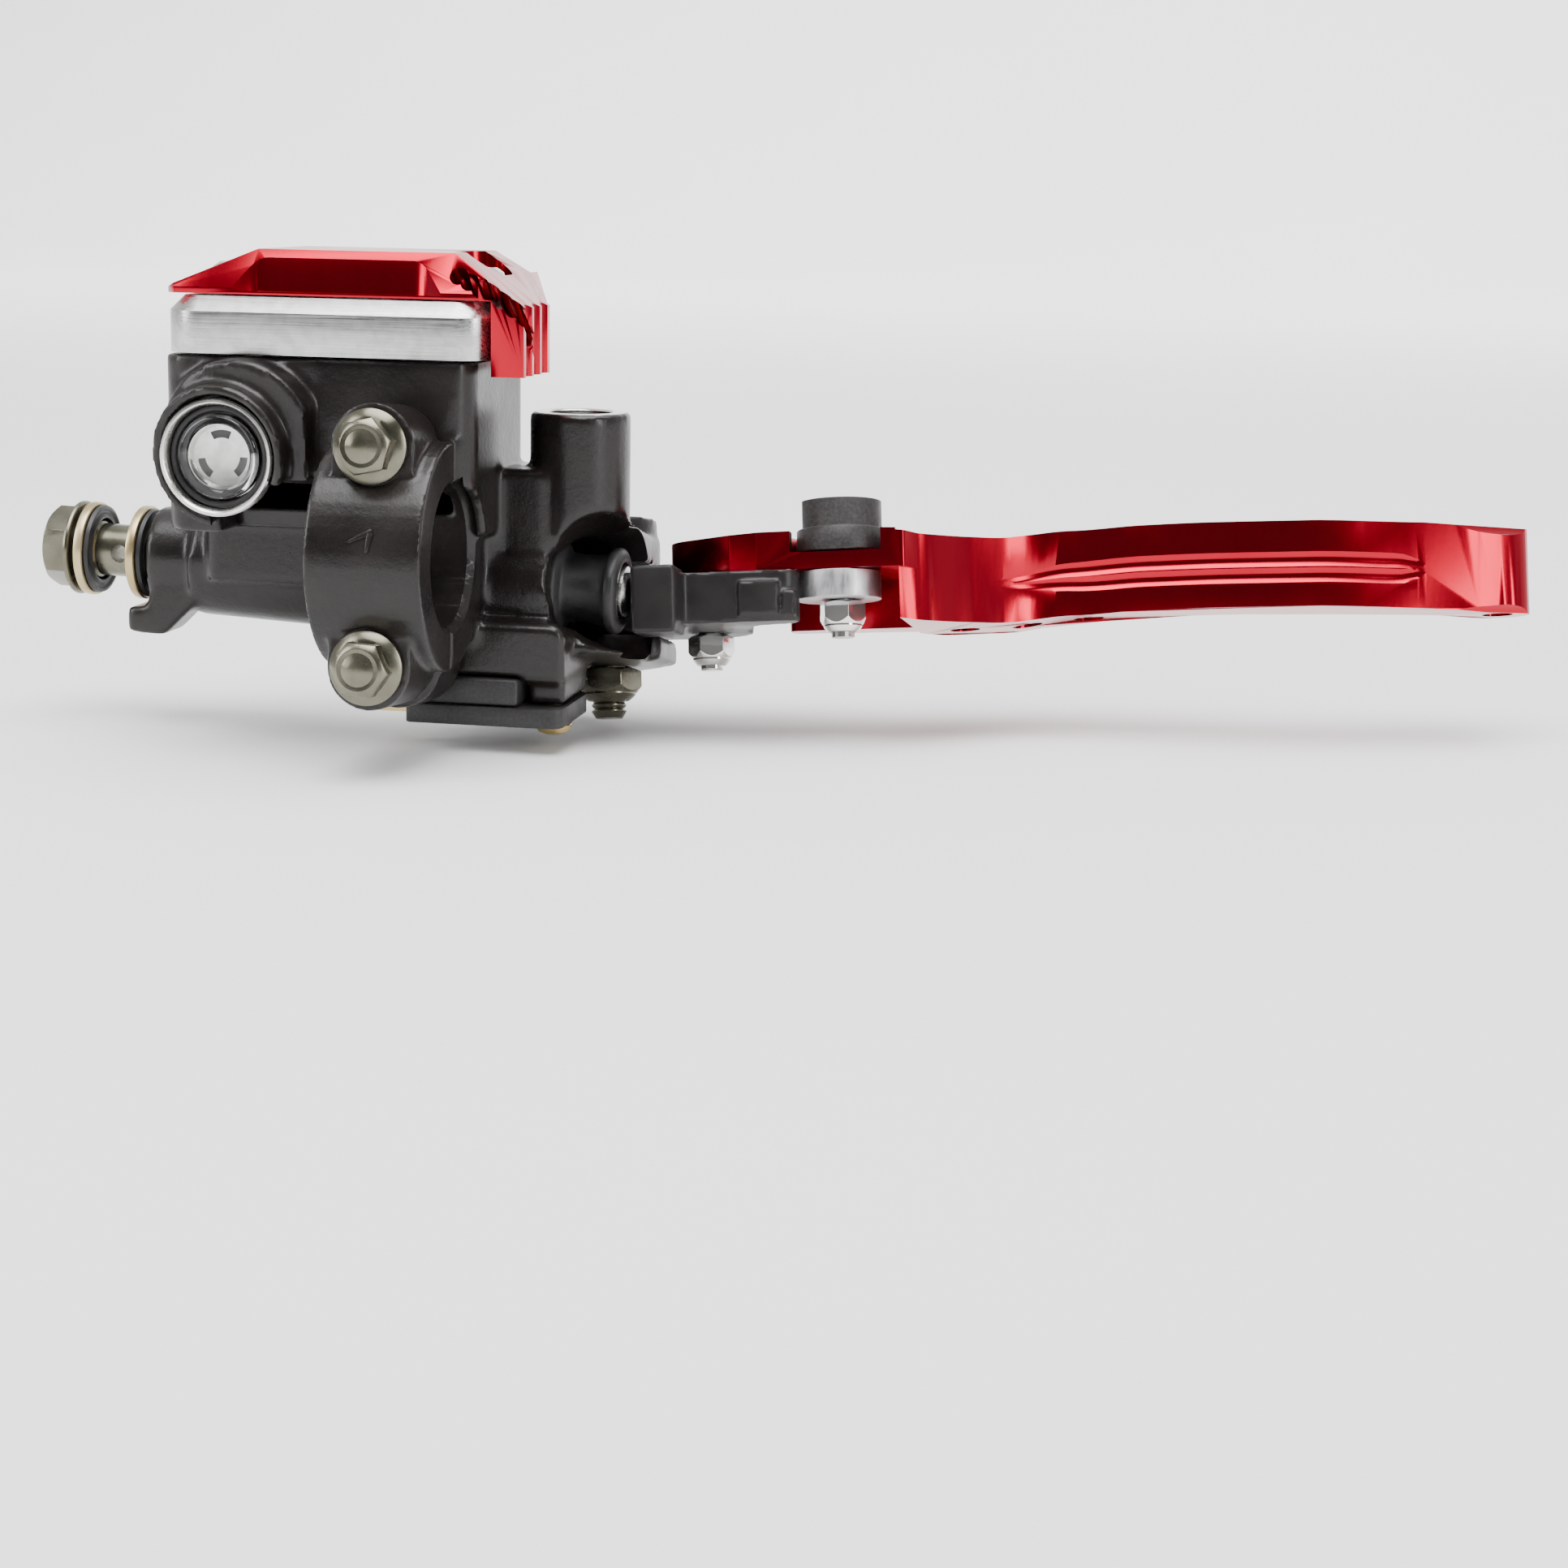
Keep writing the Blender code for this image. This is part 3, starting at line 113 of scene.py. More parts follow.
def addRamp(mat, source, stops):
    ramp = mat.node_tree.nodes.new("ShaderNodeValToRGB")
    elements = ramp.color_ramp.elements
    elements[0].position, elements[0].color = stops[0][0], (*stops[0][1], 1)
    elements[1].position, elements[1].color = stops[-1][0], (*stops[-1][1], 1)
    for position, color in stops[1:-1]:
        elements.new(position).color = (*color, 1)
    mat.node_tree.links.new(source, ramp.inputs["Fac"])
    return ramp.outputs["Color"]


def addRange(mat, source, low, high, fromLow=0.3, fromHigh=0.7):
    ranged = mat.node_tree.nodes.new("ShaderNodeMapRange")
    ranged.inputs["From Min"].default_value = fromLow
    ranged.inputs["From Max"].default_value = fromHigh
    ranged.inputs["To Min"].default_value = low
    ranged.inputs["To Max"].default_value = high
    mat.node_tree.links.new(source, ranged.inputs["Value"])
    return ranged.outputs["Result"]


def addBumps(mat, shader, layers):
    # layers: (height source, depth in mm), the first one underneath
    last = None
    for source, depth in layers:
        bump = mat.node_tree.nodes.new("ShaderNodeBump")
        bump.inputs["Strength"].default_value = 1.0
        bump.inputs["Distance"].default_value = depth * 0.001
        mat.node_tree.links.new(source, bump.inputs["Height"])
        if last:
            mat.node_tree.links.new(last.outputs["Normal"], bump.inputs["Normal"])
        last = bump
    mat.node_tree.links.new(last.outputs["Normal"], shader.inputs["Normal"])


def colorBy(mat, shader, source, stops):
    mat.node_tree.links.new(addRamp(mat, source, stops), shader.inputs["Base Color"])


def roughBy(mat, shader, source, low, high):
    mat.node_tree.links.new(addRange(mat, source, low, high), shader.inputs["Roughness"])


def paintFinish():
    mat, shader = newFinish("castPaint", (0.009, 0.007, 0.0065), 0.33, coat=0.22, coatRoughness=0.2, specular=0.28)
    peel = addNoise(mat, 900, 2.0)
    sand = addNoise(mat, 2600, 2.0)
    patches = addNoise(mat, 90, 4.0)
    colorBy(mat, shader, patches, [(0.3, (0.006, 0.0048, 0.0044)), (0.7, (0.013, 0.010, 0.0092))])
    roughBy(mat, shader, patches, 0.27, 0.4)
    addBumps(mat, shader, [(peel, 0.06), (sand, 0.035)])
    return mat


def smoothPaintFinish():
    mat, shader = newFinish("knucklePaint", (0.013, 0.011, 0.011), 0.42, coat=0.1, coatRoughness=0.3, specular=0.3)
    peel = addNoise(mat, 420, 2.0)
    patches = addNoise(mat, 120, 3.0)
    colorBy(mat, shader, patches, [(0.3, (0.009, 0.0078, 0.0078)), (0.75, (0.017, 0.0145, 0.0145))])
    roughBy(mat, shader, patches, 0.34, 0.5)
    addBumps(mat, shader, [(peel, 0.05)])
    return mat


def anodisedFinish(name, lineTurn=(0, 0, 0), lines=(1, 40, 1)):
    mat, shader = newFinish(name, (0.46, 0.002, 0.020), 0.2, metallic=1.0, coat=0.2, coatRoughness=0.1)
    cutter = addNoise(mat, 160, 2.0, lines, lineTurn)
    fine = addNoise(mat, 3000, 2.0)
    tint = addNoise(mat, 35, 3.0)
    colorBy(mat, shader, tint, [(0.3, (0.36, 0.0012, 0.015)), (0.7, (0.46, 0.0024, 0.021))])
    roughBy(mat, shader, cutter, 0.2, 0.235)
    addBumps(mat, shader, [(cutter, 0.0012), (fine, 0.001)])
    return mat


def brushedFinish(name, stretch=(1, 60, 60), color=(0.78, 0.78, 0.78), low=0.2, high=0.42):
    mat, shader = newFinish(name, color, 0.3, metallic=1.0)
    brush = addNoise(mat, 60, 4.0, stretch)
    spots = addNoise(mat, 500, 4.0)
    dark = [component * 0.82 for component in color]
    colorBy(mat, shader, spots, [(0.35, dark), (0.6, color)])
    roughBy(mat, shader, brush, low, high)
    addBumps(mat, shader, [(brush, 0.012), (spots, 0.006)])
    return mat


def platedFinish(name, stops, low, high):
    mat, shader = newFinish(name, stops[0][1], (low + high) / 2, metallic=0.92, coat=0.15, coatRoughness=0.15)
    mottle = addNoise(mat, 160, 5.0)
    grain = addNoise(mat, 1600, 3.0)
    colorBy(mat, shader, mottle, stops)
    roughBy(mat, shader, mottle, low, high)
    addBumps(mat, shader, [(grain, 0.008)])
    return mat


def rubberFinish():
    mat, shader = newFinish("rubber", (0.012, 0.012, 0.013), 0.5, specular=0.45)
    dust = addNoise(mat, 300, 4.0)
    grain = addNoise(mat, 2200, 2.0)
    colorBy(mat, shader, dust, [(0.4, (0.010, 0.010, 0.011)), (0.75, (0.024, 0.022, 0.022))])
    roughBy(mat, shader, dust, 0.38, 0.6)
    addBumps(mat, shader, [(grain, 0.02)])
    return mat


def plasticFinish(name, dark, light, depth):
    mat, shader = newFinish(name, dark, 0.55, specular=0.45)
    specks = addNoise(mat, 1900, 2.0)
    patches = addNoise(mat, 200, 3.0)
    colorBy(mat, shader, specks, [(0.35, dark), (0.72, light)])
    roughBy(mat, shader, patches, 0.42, 0.62)
    addBumps(mat, shader, [(specks, depth)])
    return mat


def clearFinish():
    mat, shader = newFinish("clearLens", (0.97, 0.985, 0.98), 0.03)
    shader.inputs["Transmission Weight"].default_value = 1.0
    shader.inputs["IOR"].default_value = 1.45
    ripple = addNoise(mat, 260, 2.0)
    addBumps(mat, shader, [(ripple, 0.004)])
    return mat


castPaint = paintFinish()
knucklePaint = smoothPaintFinish()
redHandle = anodisedFinish("redHandle", lines=(70, 1, 1))
redCap = anodisedFinish("redCap", (0, 0, radians(14)), (60, 1, 1))
spacerMetal = brushedFinish("spacerMetal", color=(0.56, 0.555, 0.55))
turnedMetal = brushedFinish("turnedMetal", (4, 4, 4), (0.8, 0.79, 0.76), 0.16, 0.32)
camMetal = brushedFinish("camMetal", (30, 30, 2), (0.62, 0.62, 0.64), 0.34, 0.5)
oliveZinc = platedFinish("oliveZinc", [(0.3, (0.11, 0.105, 0.075)), (0.7, (0.20, 0.19, 0.145))], 0.2, 0.32)
yellowZinc = platedFinish("yellowZinc", [(0.3, (0.42, 0.31, 0.14)), (0.7, (0.60, 0.50, 0.30))], 0.26, 0.4)
chromePlate = platedFinish("chromePlate", [(0.3, (0.80, 0.79, 0.76)), (0.7, (0.9, 0.9, 0.88))], 0.05, 0.12)
plainSteel = brushedFinish("plainSteel", (5, 5, 5), (0.55, 0.54, 0.52), 0.25, 0.4)
brass = platedFinish("brass", [(0.3, (0.50, 0.36, 0.14)), (0.7, (0.66, 0.52, 0.26))], 0.15, 0.3)
rubber = rubberFinish()
knobPlastic = plasticFinish("knobPlastic", (0.011, 0.0095, 0.0095), (0.030, 0.026, 0.026), 0.02)
switchPlastic = plasticFinish("switchPlastic", (0.016, 0.015, 0.016), (0.027, 0.025, 0.026), 0.012)
clearLens = clearFinish()
print("materials made")


# Shapes
def turnedShape(profile, segments=72):
    # profile: (height, radius) round the outside, closed through the axis or back along the inside
    bm = bmesh.new()
    ring = [bm.verts.new((radius, 0, height)) for height, radius in profile]
    edges = [bm.edges.new(pair) for pair in zip(ring, ring[1:])]
    if profile[0][1] > 0 and profile[-1][1] > 0:
        edges.append(bm.edges.new((ring[-1], ring[0])))
    bmesh.ops.spin(bm, geom=ring + edges, cent=(0, 0, 0), axis=(0, 0, 1), angle=2 * pi, steps=segments,
                   use_merge=True)
    bmesh.ops.remove_doubles(bm, verts=bm.verts[:], dist=0.0005)
    bmesh.ops.recalc_face_normals(bm, faces=bm.faces[:])
    return bm


def prismShape(outline, low, high):
    bm = bmesh.new()
    base = bm.faces.new([bm.verts.new((x, y, low)) for x, y in outline])
    grown = bmesh.ops.extrude_face_region(bm, geom=[base])
    top = [item for item in grown["geom"] if isinstance(item, bmesh.types.BMVert)]
    bmesh.ops.translate(bm, verts=top, vec=(0, 0, high - low))
    bmesh.ops.recalc_face_normals(bm, faces=bm.faces[:])
    return bm


def blockShape(low, high):
    middle = [(a + b) / 2 for a, b in zip(low, high)]
    size = [b - a for a, b in zip(low, high)]
    bm = bmesh.new()
    bmesh.ops.create_cube(bm, size=1, matrix=Matrix.Translation(middle) @ Matrix.Diagonal((*size, 1)))
    return bm


def rodShape(radius, low, high, centre=(0, 0), segments=48, endRadius=None):
    bm = bmesh.new()
    bmesh.ops.create_cone(bm, cap_ends=True, segments=segments, radius1=radius,
                          radius2=radius if endRadius is None else endRadius, depth=high - low,
                          matrix=Matrix.Translation((*centre, (low + high) / 2)))
    return bm


def roundCorners(points, steps=10):
    # points: (x, y, corner radius)
    line = []
    count = len(points)
    for k in range(count):
        here = Vector(points[k][:2])
        radius = points[k][2]
        before = (Vector(points[k - 1][:2]) - here).normalized()
        after = (Vector(points[(k + 1) % count][:2]) - here).normalized()
        if radius <= 0:
            line.append(here)
            continue
        half = before.angle(after) / 2
        reach = radius / max(0.05, abs(sin(half) / cos(half)))
        centre = here + (before + after).normalized() * (reach ** 2 + radius ** 2) ** 0.5
        first = here + before * reach - centre
        sweep = first.angle_signed(here + after * reach - centre)
        line += [centre + Matrix.Rotation(-sweep * step / steps, 2) @ first for step in range(steps + 1)]
    return line


def arc(centre, radius, start, sweep, steps=12):
    return [(centre[0] + radius * cos(radians(start + sweep * k / steps)),
             centre[1] + radius * sin(radians(start + sweep * k / steps))) for k in range(steps + 1)]


def hexagon(flats, turn=0.0):
    corner = flats / 2 / cos(pi / 6)
    return [(corner * cos(turn + k * pi / 3), corner * sin(turn + k * pi / 3)) for k in range(6)]


def boxOutline(left, right, front, back, radius):
    return roundCorners([(left, front, radius), (right, front, radius), (right, back, radius),
                         (left, back, radius)], 14)


def objectFrom(bm, name, place=worldFrame):
    bm.transform(place)
    mesh = bpy.data.meshes.new(name)
    bm.to_mesh(mesh)
    bm.free()
    obj = bpy.data.objects.new(name, mesh)
    bpy.context.scene.collection.objects.link(obj)
    return obj


def settle(obj):
    # applies the modifiers
    bpy.context.view_layer.update()
    result = bpy.data.meshes.new_from_object(obj.evaluated_get(bpy.context.evaluated_depsgraph_get()))
    obj.modifiers.clear()
    obj.data = result
    return obj


def combine(obj, tools, operation="DIFFERENCE"):
    # tools: objects used up one by one
    for tool in tools:
        change = obj.modifiers.new("combine", "BOOLEAN")
        change.operation = operation
        change.solver = "EXACT"
        change.object = tool
        settle(obj)
        bpy.data.objects.remove(tool)
    return obj


def tool(bm, place=worldFrame):
    return objectFrom(bm, "tool", place)


def roundEdges(obj, width, segments=3, limit=28):
    bm = bmesh.new()
    bm.from_mesh(obj.data)
    bmesh.ops.remove_doubles(bm, verts=bm.verts[:], dist=0.002)
    bmesh.ops.dissolve_limit(bm, angle_limit=radians(1.5), verts=bm.verts[:], edges=bm.edges[:])
    bm.to_mesh(obj.data)
    bm.free()
    bevel = obj.modifiers.new("round", "BEVEL")
    bevel.width = width
    bevel.segments = segments
    bevel.limit_method = "ANGLE"
    bevel.angle_limit = radians(limit)
    bevel.miter_outer = "MITER_ARC"
    return settle(obj)


def finishPiece(obj, name, finish, body, replaced=(), sharp=38):
    # the object is in millimetres until here
    obj.name = name
    obj.data.name = name
    obj.data.transform(Matrix.Scale(0.001, 4))
    obj.data.materials.clear()
    obj.data.materials.append(finish)
    obj.data.shade_smooth()
    obj.data.set_sharp_from_angle(angle=radians(sharp))
    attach(obj, body)
    if replaced:
        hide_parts(*replaced)
    return obj


def copyOfNode(node):
    bm = bmesh.new()
    bm.from_mesh(frame["nodes"][node].data)
    bm.transform(frame["nodes"][node].matrix_world)
    bmesh.ops.scale(bm, vec=(1000, 1000, 1000), verts=bm.verts[:])
    bmesh.ops.remove_doubles(bm, verts=bm.verts[:], dist=0.001)
    return objectFrom(bm, node + "Copy")


def castSkin(obj, voxel, rounds, factor=0.5):
    # blends a rough solid into one casting with soft fillets
    remesh = obj.modifiers.new("skin", "REMESH")
    remesh.mode = "VOXEL"
    remesh.voxel_size = voxel
    smooth = obj.modifiers.new("fillets", "SMOOTH")
    smooth.iterations = rounds
    smooth.factor = factor
    return settle(obj)


# The casting and its clamp cap
casting = {"voxel": 0.6, "rounds": 7, "barBore": 11.15, "boreLip": 1.1, "ringHalf": 9.3}


def barCutter():
    half, radius, lip = casting["ringHalf"], casting["barBore"], casting["boreLip"]
    oneEnd = [(20, radius), (half + 0.7, radius), (half + 0.6, radius + lip + 0.6), (half - lip, radius)]
    profile = [(-20, 0)] + [(-x, r) for x, r in oneEnd] + oneEnd[::-1] + [(20, 0)]
    bm = turnedShape(profile, 96)
    bm.transform(zToX)
    return tool(bm)


def makeCasting():
    skin = castSkin(copyOfNode("master_cylinder_body"), casting["voxel"], casting["rounds"])
    mirror = Matrix.Translation((23.2, 26.0, 0))
    mirrorHole = turnedShape([(5.0, 0), (5.0, 5.0), (20.6, 5.0), (21.5, 5.9), (25, 9.4), (25, 0)])
    mirrorTop = rodShape(10.5, 21.45, 26.0)
    rimTrim = blockShape((-45, -2, 30.25), (13.4, 40, 33))
    glassSeat = turnedShape([(3, 0), (3, 10.4), (0.0, 9.95), (-0.5, 9.6), (-4.2, 9.6), (-4.2, 0)], 96)
    chamber = turnedShape([(18.5, 0), (18.5, 8.3), (26.0, 8.4), (27.0, 9.2), (34, 12.5), (34, 0)], 96)
    tools = [tool(mirrorHole, mirror), tool(mirrorTop, mirror), tool(rimTrim),
             tool(glassSeat, glassFrame), tool(chamber, boreFrame), barCutter()]
    obj = combine(skin, tools)
    return finishPiece(obj, "casting", castPaint, "body", ["master_cylinder_body"])


def makeClampCap():
    skin = castSkin(copyOfNode("clamp_cap"), 0.38, 7)
    seats = [tool(rodShape(6.15, 13.6, 22, segments=64), clampFrame @ Matrix.Translation((0, 0, side * 17.0))
                  @ zToFront) for side in (1, -1)]
    obj = combine(skin, seats + [barCutter()])
    return finishPiece(obj, "clampCap", castPaint, "body", ["clamp_cap"])


def makeArrowhead():
    # a plain raised chevron wrapped round the clamp's front
    arms = [[(-2.6, 3.9), (-1.7, 3.9), (1.7, 5.3), (1.7, 6.0), (1.3, 6.2)],
            [(1.9, 5.4), (1.2, 2.6), (0.7, 2.4), (0.9, 5.6)]]
    whole = bmesh.new()
    for outline in arms:
        arm = prismShape(outline, 17.6, 18.38)
        bmesh.ops.subdivide_edges(arm, edges=arm.edges[:], cuts=3, use_grid_fill=True)
        for vert in arm.verts:
            radius, angle = vert.co.z, vert.co.y / 18.15
            vert.co = (vert.co.x, -radius * cos(angle), radius * sin(angle))
        mesh = bpy.data.meshes.new("arm")
        arm.to_mesh(mesh)
        arm.free()
        whole.from_mesh(mesh)
    bmesh.ops.recalc_face_normals(whole, faces=whole.faces[:])
    obj = roundEdges(objectFrom(whole, "arrow"), 0.12, 2)
    return finishPiece(obj, "clampArrowhead", castPaint, "body")


def makeMirrorSeat():
    bm = turnedShape([(21.2, 5.35), (21.42, 5.6), (21.5, 5.9), (21.5, 7.2), (21.42, 7.45), (21.2, 7.5)], 80)
    obj = objectFrom(bm, "seat", Matrix.Translation((23.2, 26.0, 0)))
    return finishPiece(obj, "mirrorSeat", turnedMetal, "body")


makeCasting()
makeClampCap()
makeArrowhead()
makeMirrorSeat()
print("castings made")


# Fasteners
def hexHead(flats, low, high, dome, turn=0.0):
    # a hexagon whose outer corners are turned away
    corner = flats / 2 / cos(pi / 6)
    head = tool(prismShape(hexagon(flats, turn), low, high))
    step = 1 if high > low else -1
    turned = turnedShape([(low - step, 0), (low - step, corner + 0.02), (high - step * dome, corner - 0.02),
                          (high - step * dome * 0.35, flats / 2 + 0.02), (high - step * 0.06, flats / 2 * 0.9),
                          (high, flats / 2 * 0.82), (high, 0)], 96)
    combine(head, [tool(turned)], "INTERSECT")
    return roundEdges(head, flats * 0.012, 2, 20)


def placed(obj, place):
    obj.data.transform(place)
    return obj


def makeFlangeBolt(name, side):
    seat = 13.9
    flange = tool(turnedShape([(-10.6, 0), (-10.6, 2.6), (-10.3, 2.9), (seat, 2.9), (seat, 5.72),
                               (seat + 0.12, 5.85), (seat + 0.75, 5.83), (seat + 0.95, 5.6),
                               (seat + 1.5, 4.7), (seat + 1.7, 4.2), (seat + 1.7, 0)], 96))
    corner = 8.0 / 2 / cos(pi / 6)
    head = tool(prismShape(hexagon(8.0, radians(4 + side * 9)), seat + 0.9, seat + 5.4))
    dome = turnedShape([(seat, 0), (seat, corner + 0.1), (seat + 3.9, corner + 0.02), (seat + 4.5, 3.95),
                        (seat + 4.85, 3.3), (seat + 4.75, 2.6), (seat + 5.15, 1.6), (seat + 5.4, 0)], 96)
    combine(head, [tool(dome)], "INTERSECT")
    roundEdges(head, 0.11, 2, 20)
    bolt = combine(flange, [head], "UNION")
    placed(bolt, clampFrame @ Matrix.Translation((0, 0, side * 17.0)) @ zToFront)
    return finishPiece(bolt, name + "Piece", oliveZinc, "body", [name], 26)


def threadProfile(low, high, radius, pitch=1.0, depth=0.35):
    line = []
    height = low
    while height + pitch < high:
        line += [(height, radius - depth), (height + pitch * 0.42, radius), (height + pitch * 0.58, radius)]
        height += pitch
    return line


def makeNut(node, finish, body, place, flats, top, height, bore, turn, boltEnd=None, boltRadius=2.0):
    # a locking nut: chamfered hexagon with a rounded collar below
    hexTop, hexLow = top, top - height * 0.74
    nut = tool(prismShape(hexagon(flats, turn), hexLow, hexTop))
    corner = flats / 2 / cos(pi / 6)
    lathe = turnedShape([(hexTop, 0), (hexTop, flats / 2 * 0.96), (hexTop - 0.45, corner - 0.05),
                         (hexLow + 1.1, corner - 0.03), (hexLow + 0.3, flats / 2 + 0.05), (hexLow, flats / 2 * 0.97),
                         (hexLow - 1, 0)], 96)
    combine(nut, [tool(lathe)], "INTERSECT")
    roundEdges(nut, 0.1, 2, 20)
    collar = turnedShape([(hexLow + 0.6, 0), (hexLow + 0.6, flats / 2 * 0.93), (hexLow - 0.3, flats / 2 * 0.93),
                          (top - height + 0.7, flats / 2 * 0.86), (top - height + 0.2, flats / 2 * 0.74),
                          (top - height, flats / 2 * 0.66), (top - height, 0)], 80)
    combine(nut, [tool(collar)], "UNION")
    hole = turnedShape([(top + 1, 0), (top + 1, bore), (top - height + 0.5, bore),
                        (top - height - 1, bore + 1.2), (top - height - 1, 0)], 64)
    combine(nut, [tool(hole)])
    placed(nut, place)
    return finishPiece(nut, node + "Piece", finish, body, [node], 26)


def makeBanjoBolt():
    shank = tool(turnedShape([(-38.5, 0), (-38.5, 4.4), (-39.0, 4.9), (-53.6, 4.9), (-54.0, 4.45), (-61.2, 4.45),
                              (-61.6, 4.9), (-64.7, 4.9), (-64.7, 7.6), (-64.85, 7.9), (-65.2, 8.0), (-65.55, 7.9),
                              (-65.8, 7.3), (-65.95, 6.2), (-65.95, 0)], 120))
    head = hexHead(12.0, -65.4, -70.4, 1.1)
    combine(shank, [head], "UNION")
    across = rodShape(1.5, -20, 20, (-56.9, 0), 48)
    across.transform(zToX.inverted() @ Matrix.Rotation(pi / 2, 4, "X"))
    combine(shank, [tool(across), tool(rodShape(1.9, -57.5, -30))])
    placed(shank, boreFrame)
    return finishPiece(shank, "banjoBolt", oliveZinc, "body", ["banjo_bolt"], 26)


def makeSeal(prefix, left):
    ring = turnedShape([(left + 1.6, 6.3), (left + 1.6, 7.7), (left + 1.45, 7.9), (left + 1.2, 7.95),
                        (left + 0.4, 7.95), (left + 0.12, 7.88), (left, 7.65), (left, 6.3)], 120)
    obj = objectFrom(ring, prefix, boreFrame)
    finishPiece(obj, prefix + "Metal", yellowZinc, "body", [prefix + "_ring"], 30)
    lip = turnedShape([(left + 2.55, 5.3), (left + 2.6, 5.7), (left + 2.2, 6.2), (left + 2.2, 6.5),
                       (left + 2.6, 6.9), (left + 2.5, 7.35), (left + 1.9, 7.55), (left + 1.75, 7.4),
                       (left + 1.9, 6.0), (left + 0.1, 6.0), (left + 0.1, 5.3)], 120)
    obj = objectFrom(lip, prefix, boreFrame)
    finishPiece(obj, prefix + "Rubber", rubber, "body", [prefix + "_rubber"], 30)


def makePivot():
    bolt = turnedShape([(14.0, 0), (14.0, 4.6), (13.7, 5.0), (13.4, 5.2), (11.4, 5.2), (11.3, 5.0), (11.3, 3.0),
                        (-15.8, 3.0)] + [(-height, radius) for height, radius in threadProfile(15.8, 19.4, 3.0)]
                       + [(-19.55, 2.3), (-19.6, 0)], 80)
    obj = tool(bolt)
    combine(obj, [tool(blockShape((-7, -0.6, 12.8), (7, 0.6, 18)))])
    placed(obj, lever)
    return finishPiece(obj, "pivotBolt", oliveZinc, "body", ["pivot_bolt"], 26)


def makeSocketScrew(name, place, body, shankLow, seat, top, radius, shank):
    head = tool(turnedShape([(shankLow, 0), (shankLow, shank - 0.2), (shankLow + 0.3, shank), (seat, shank),
                             (seat, radius - 0.1), (seat + 0.15, radius), (seat + 0.35, radius),
                             (seat + 0.9, radius * 0.94), (top - 0.25, radius * 0.72), (top, radius * 0.6), (top, 0)],
                            96))
    combine(head, [tool(prismShape(hexagon(2.5), top - 1.2, top + 2))])
    placed(head, place)
    return finishPiece(head, name + "Piece", chromePlate, body, [name], 26)


def makeSwitchScrew():
    centre = Matrix.Translation((20.6, 19.0, 0))
    head = tool(turnedShape([(-19.0, 0), (-19.0, 1.1), (-29.3, 1.1), (-29.3, 3.0), (-29.5, 3.1), (-30.0, 3.0),
                             (-30.7, 2.5), (-31.1, 1.6), (-31.2, 0)], 80))
    combine(head, [tool(blockShape((-1.5, -0.3, -33), (1.5, 0.3, -30.4))),
                   tool(blockShape((-0.3, -1.5, -33), (0.3, 1.5, -30.4)))])
    placed(head, centre)
    return finishPiece(head, "switchScrewPiece", brass, "body", ["switch_screw"], 26)


makeFlangeBolt("clamp_bolt_upper", 1)
makeFlangeBolt("clamp_bolt_lower", -1)
makeBanjoBolt()
makeSeal("outer_seal", -63.8)
makeSeal("inner_seal", -54.5)
makePivot()
makeNut("pivot_nut", oliveZinc, "body", lever, 10.0, -11.1, 5.5, 3.25, radians(5))
makeNut("handle_nut", chromePlate, "knuckle", handlePin, 7.0, -5.9, 5.2, 2.25, radians(12))
makeNut("adjuster_nut", chromePlate, "adjuster", adjusterPin, 7.0, -1.9, 5.2, 2.25, radians(-8))
makeSocketScrew("handle_bolt", handlePin, "knuckle", -11.9, 6.8, 9.1, 3.7, 2.0)
makeSocketScrew("cap_screw_left", Matrix.Translation((-33.6, 19.0, 0)), "body", 20.5, 42.9, 44.6, 3.5, 1.7)
makeSocketScrew("cap_screw_right", Matrix.Translation((8.8, 19.0, 0)), "body", 20.5, 42.9, 44.6, 3.5, 1.7)
makeSwitchScrew()
print("fasteners made")


# Sight glass
def makeSightGlass():
    ring = turnedShape([(0.1, 8.55), (0.25, 8.75), (0.2, 9.1), (-0.15, 9.35), (-1.6, 9.35), (-1.6, 8.2), (-0.9, 8.2),
                        (-0.25, 8.35)], 120)
    finishPiece(objectFrom(ring, "ring", glassFrame), "glassRing", turnedMetal, "body",
                ["sight_glass_ring"], 30)
    oring = turnedShape(arc((-1.9, 7.62), 0.52, 0, 340, 18), 120)
    finishPiece(objectFrom(oring, "oring", glassFrame), "glassOring", rubber, "body",
                ["sight_glass_oring"], 60)
    lens = turnedShape([(-0.62, 0), (-0.62, 6.1), (-0.75, 6.35), (-1.2, 6.75), (-3.9, 6.8), (-3.9, 5.75),
                        (-1.9, 5.3), (-1.7, 5.1), (-1.7, 0)], 120)
    finishPiece(objectFrom(lens, "lens", glassFrame), "glassLens", clearLens, "body",
                ["sight_glass_lens"], 30)
    dish = tool(turnedShape([(-2.0, 5.05), (-2.0, 4.9), (-3.3, 4.5), (-3.3, 0), (-3.65, 0), (-3.65, 5.05)], 120))
    slots = []
    for k in range(3):
        start = 68 + 120 * k
        outline = arc((0, 0), 3.95, start, 50) + arc((0, 0), 2.75, start + 50, -50)
        slots.append(tool(prismShape(outline, -6, -1)))
    combine(dish, slots)
    placed(dish, glassFrame)
    finishPiece(dish, "glassReflector", turnedMetal, "body", ["sight_glass_reflector"], 30)
    # a thin dark rubber disc behind the reflector, not a part of the real glass: painted shade, standing in for the
    # shade seen through the slots
    shadeDisc = turnedShape([(-3.95, 0), (-3.95, 6.6), (-4.15, 6.6), (-4.15, 0)], 80)
    finishPiece(objectFrom(shadeDisc, "shadeDisc", glassFrame), "glassShadeDisc", rubber, "body", (), 30)


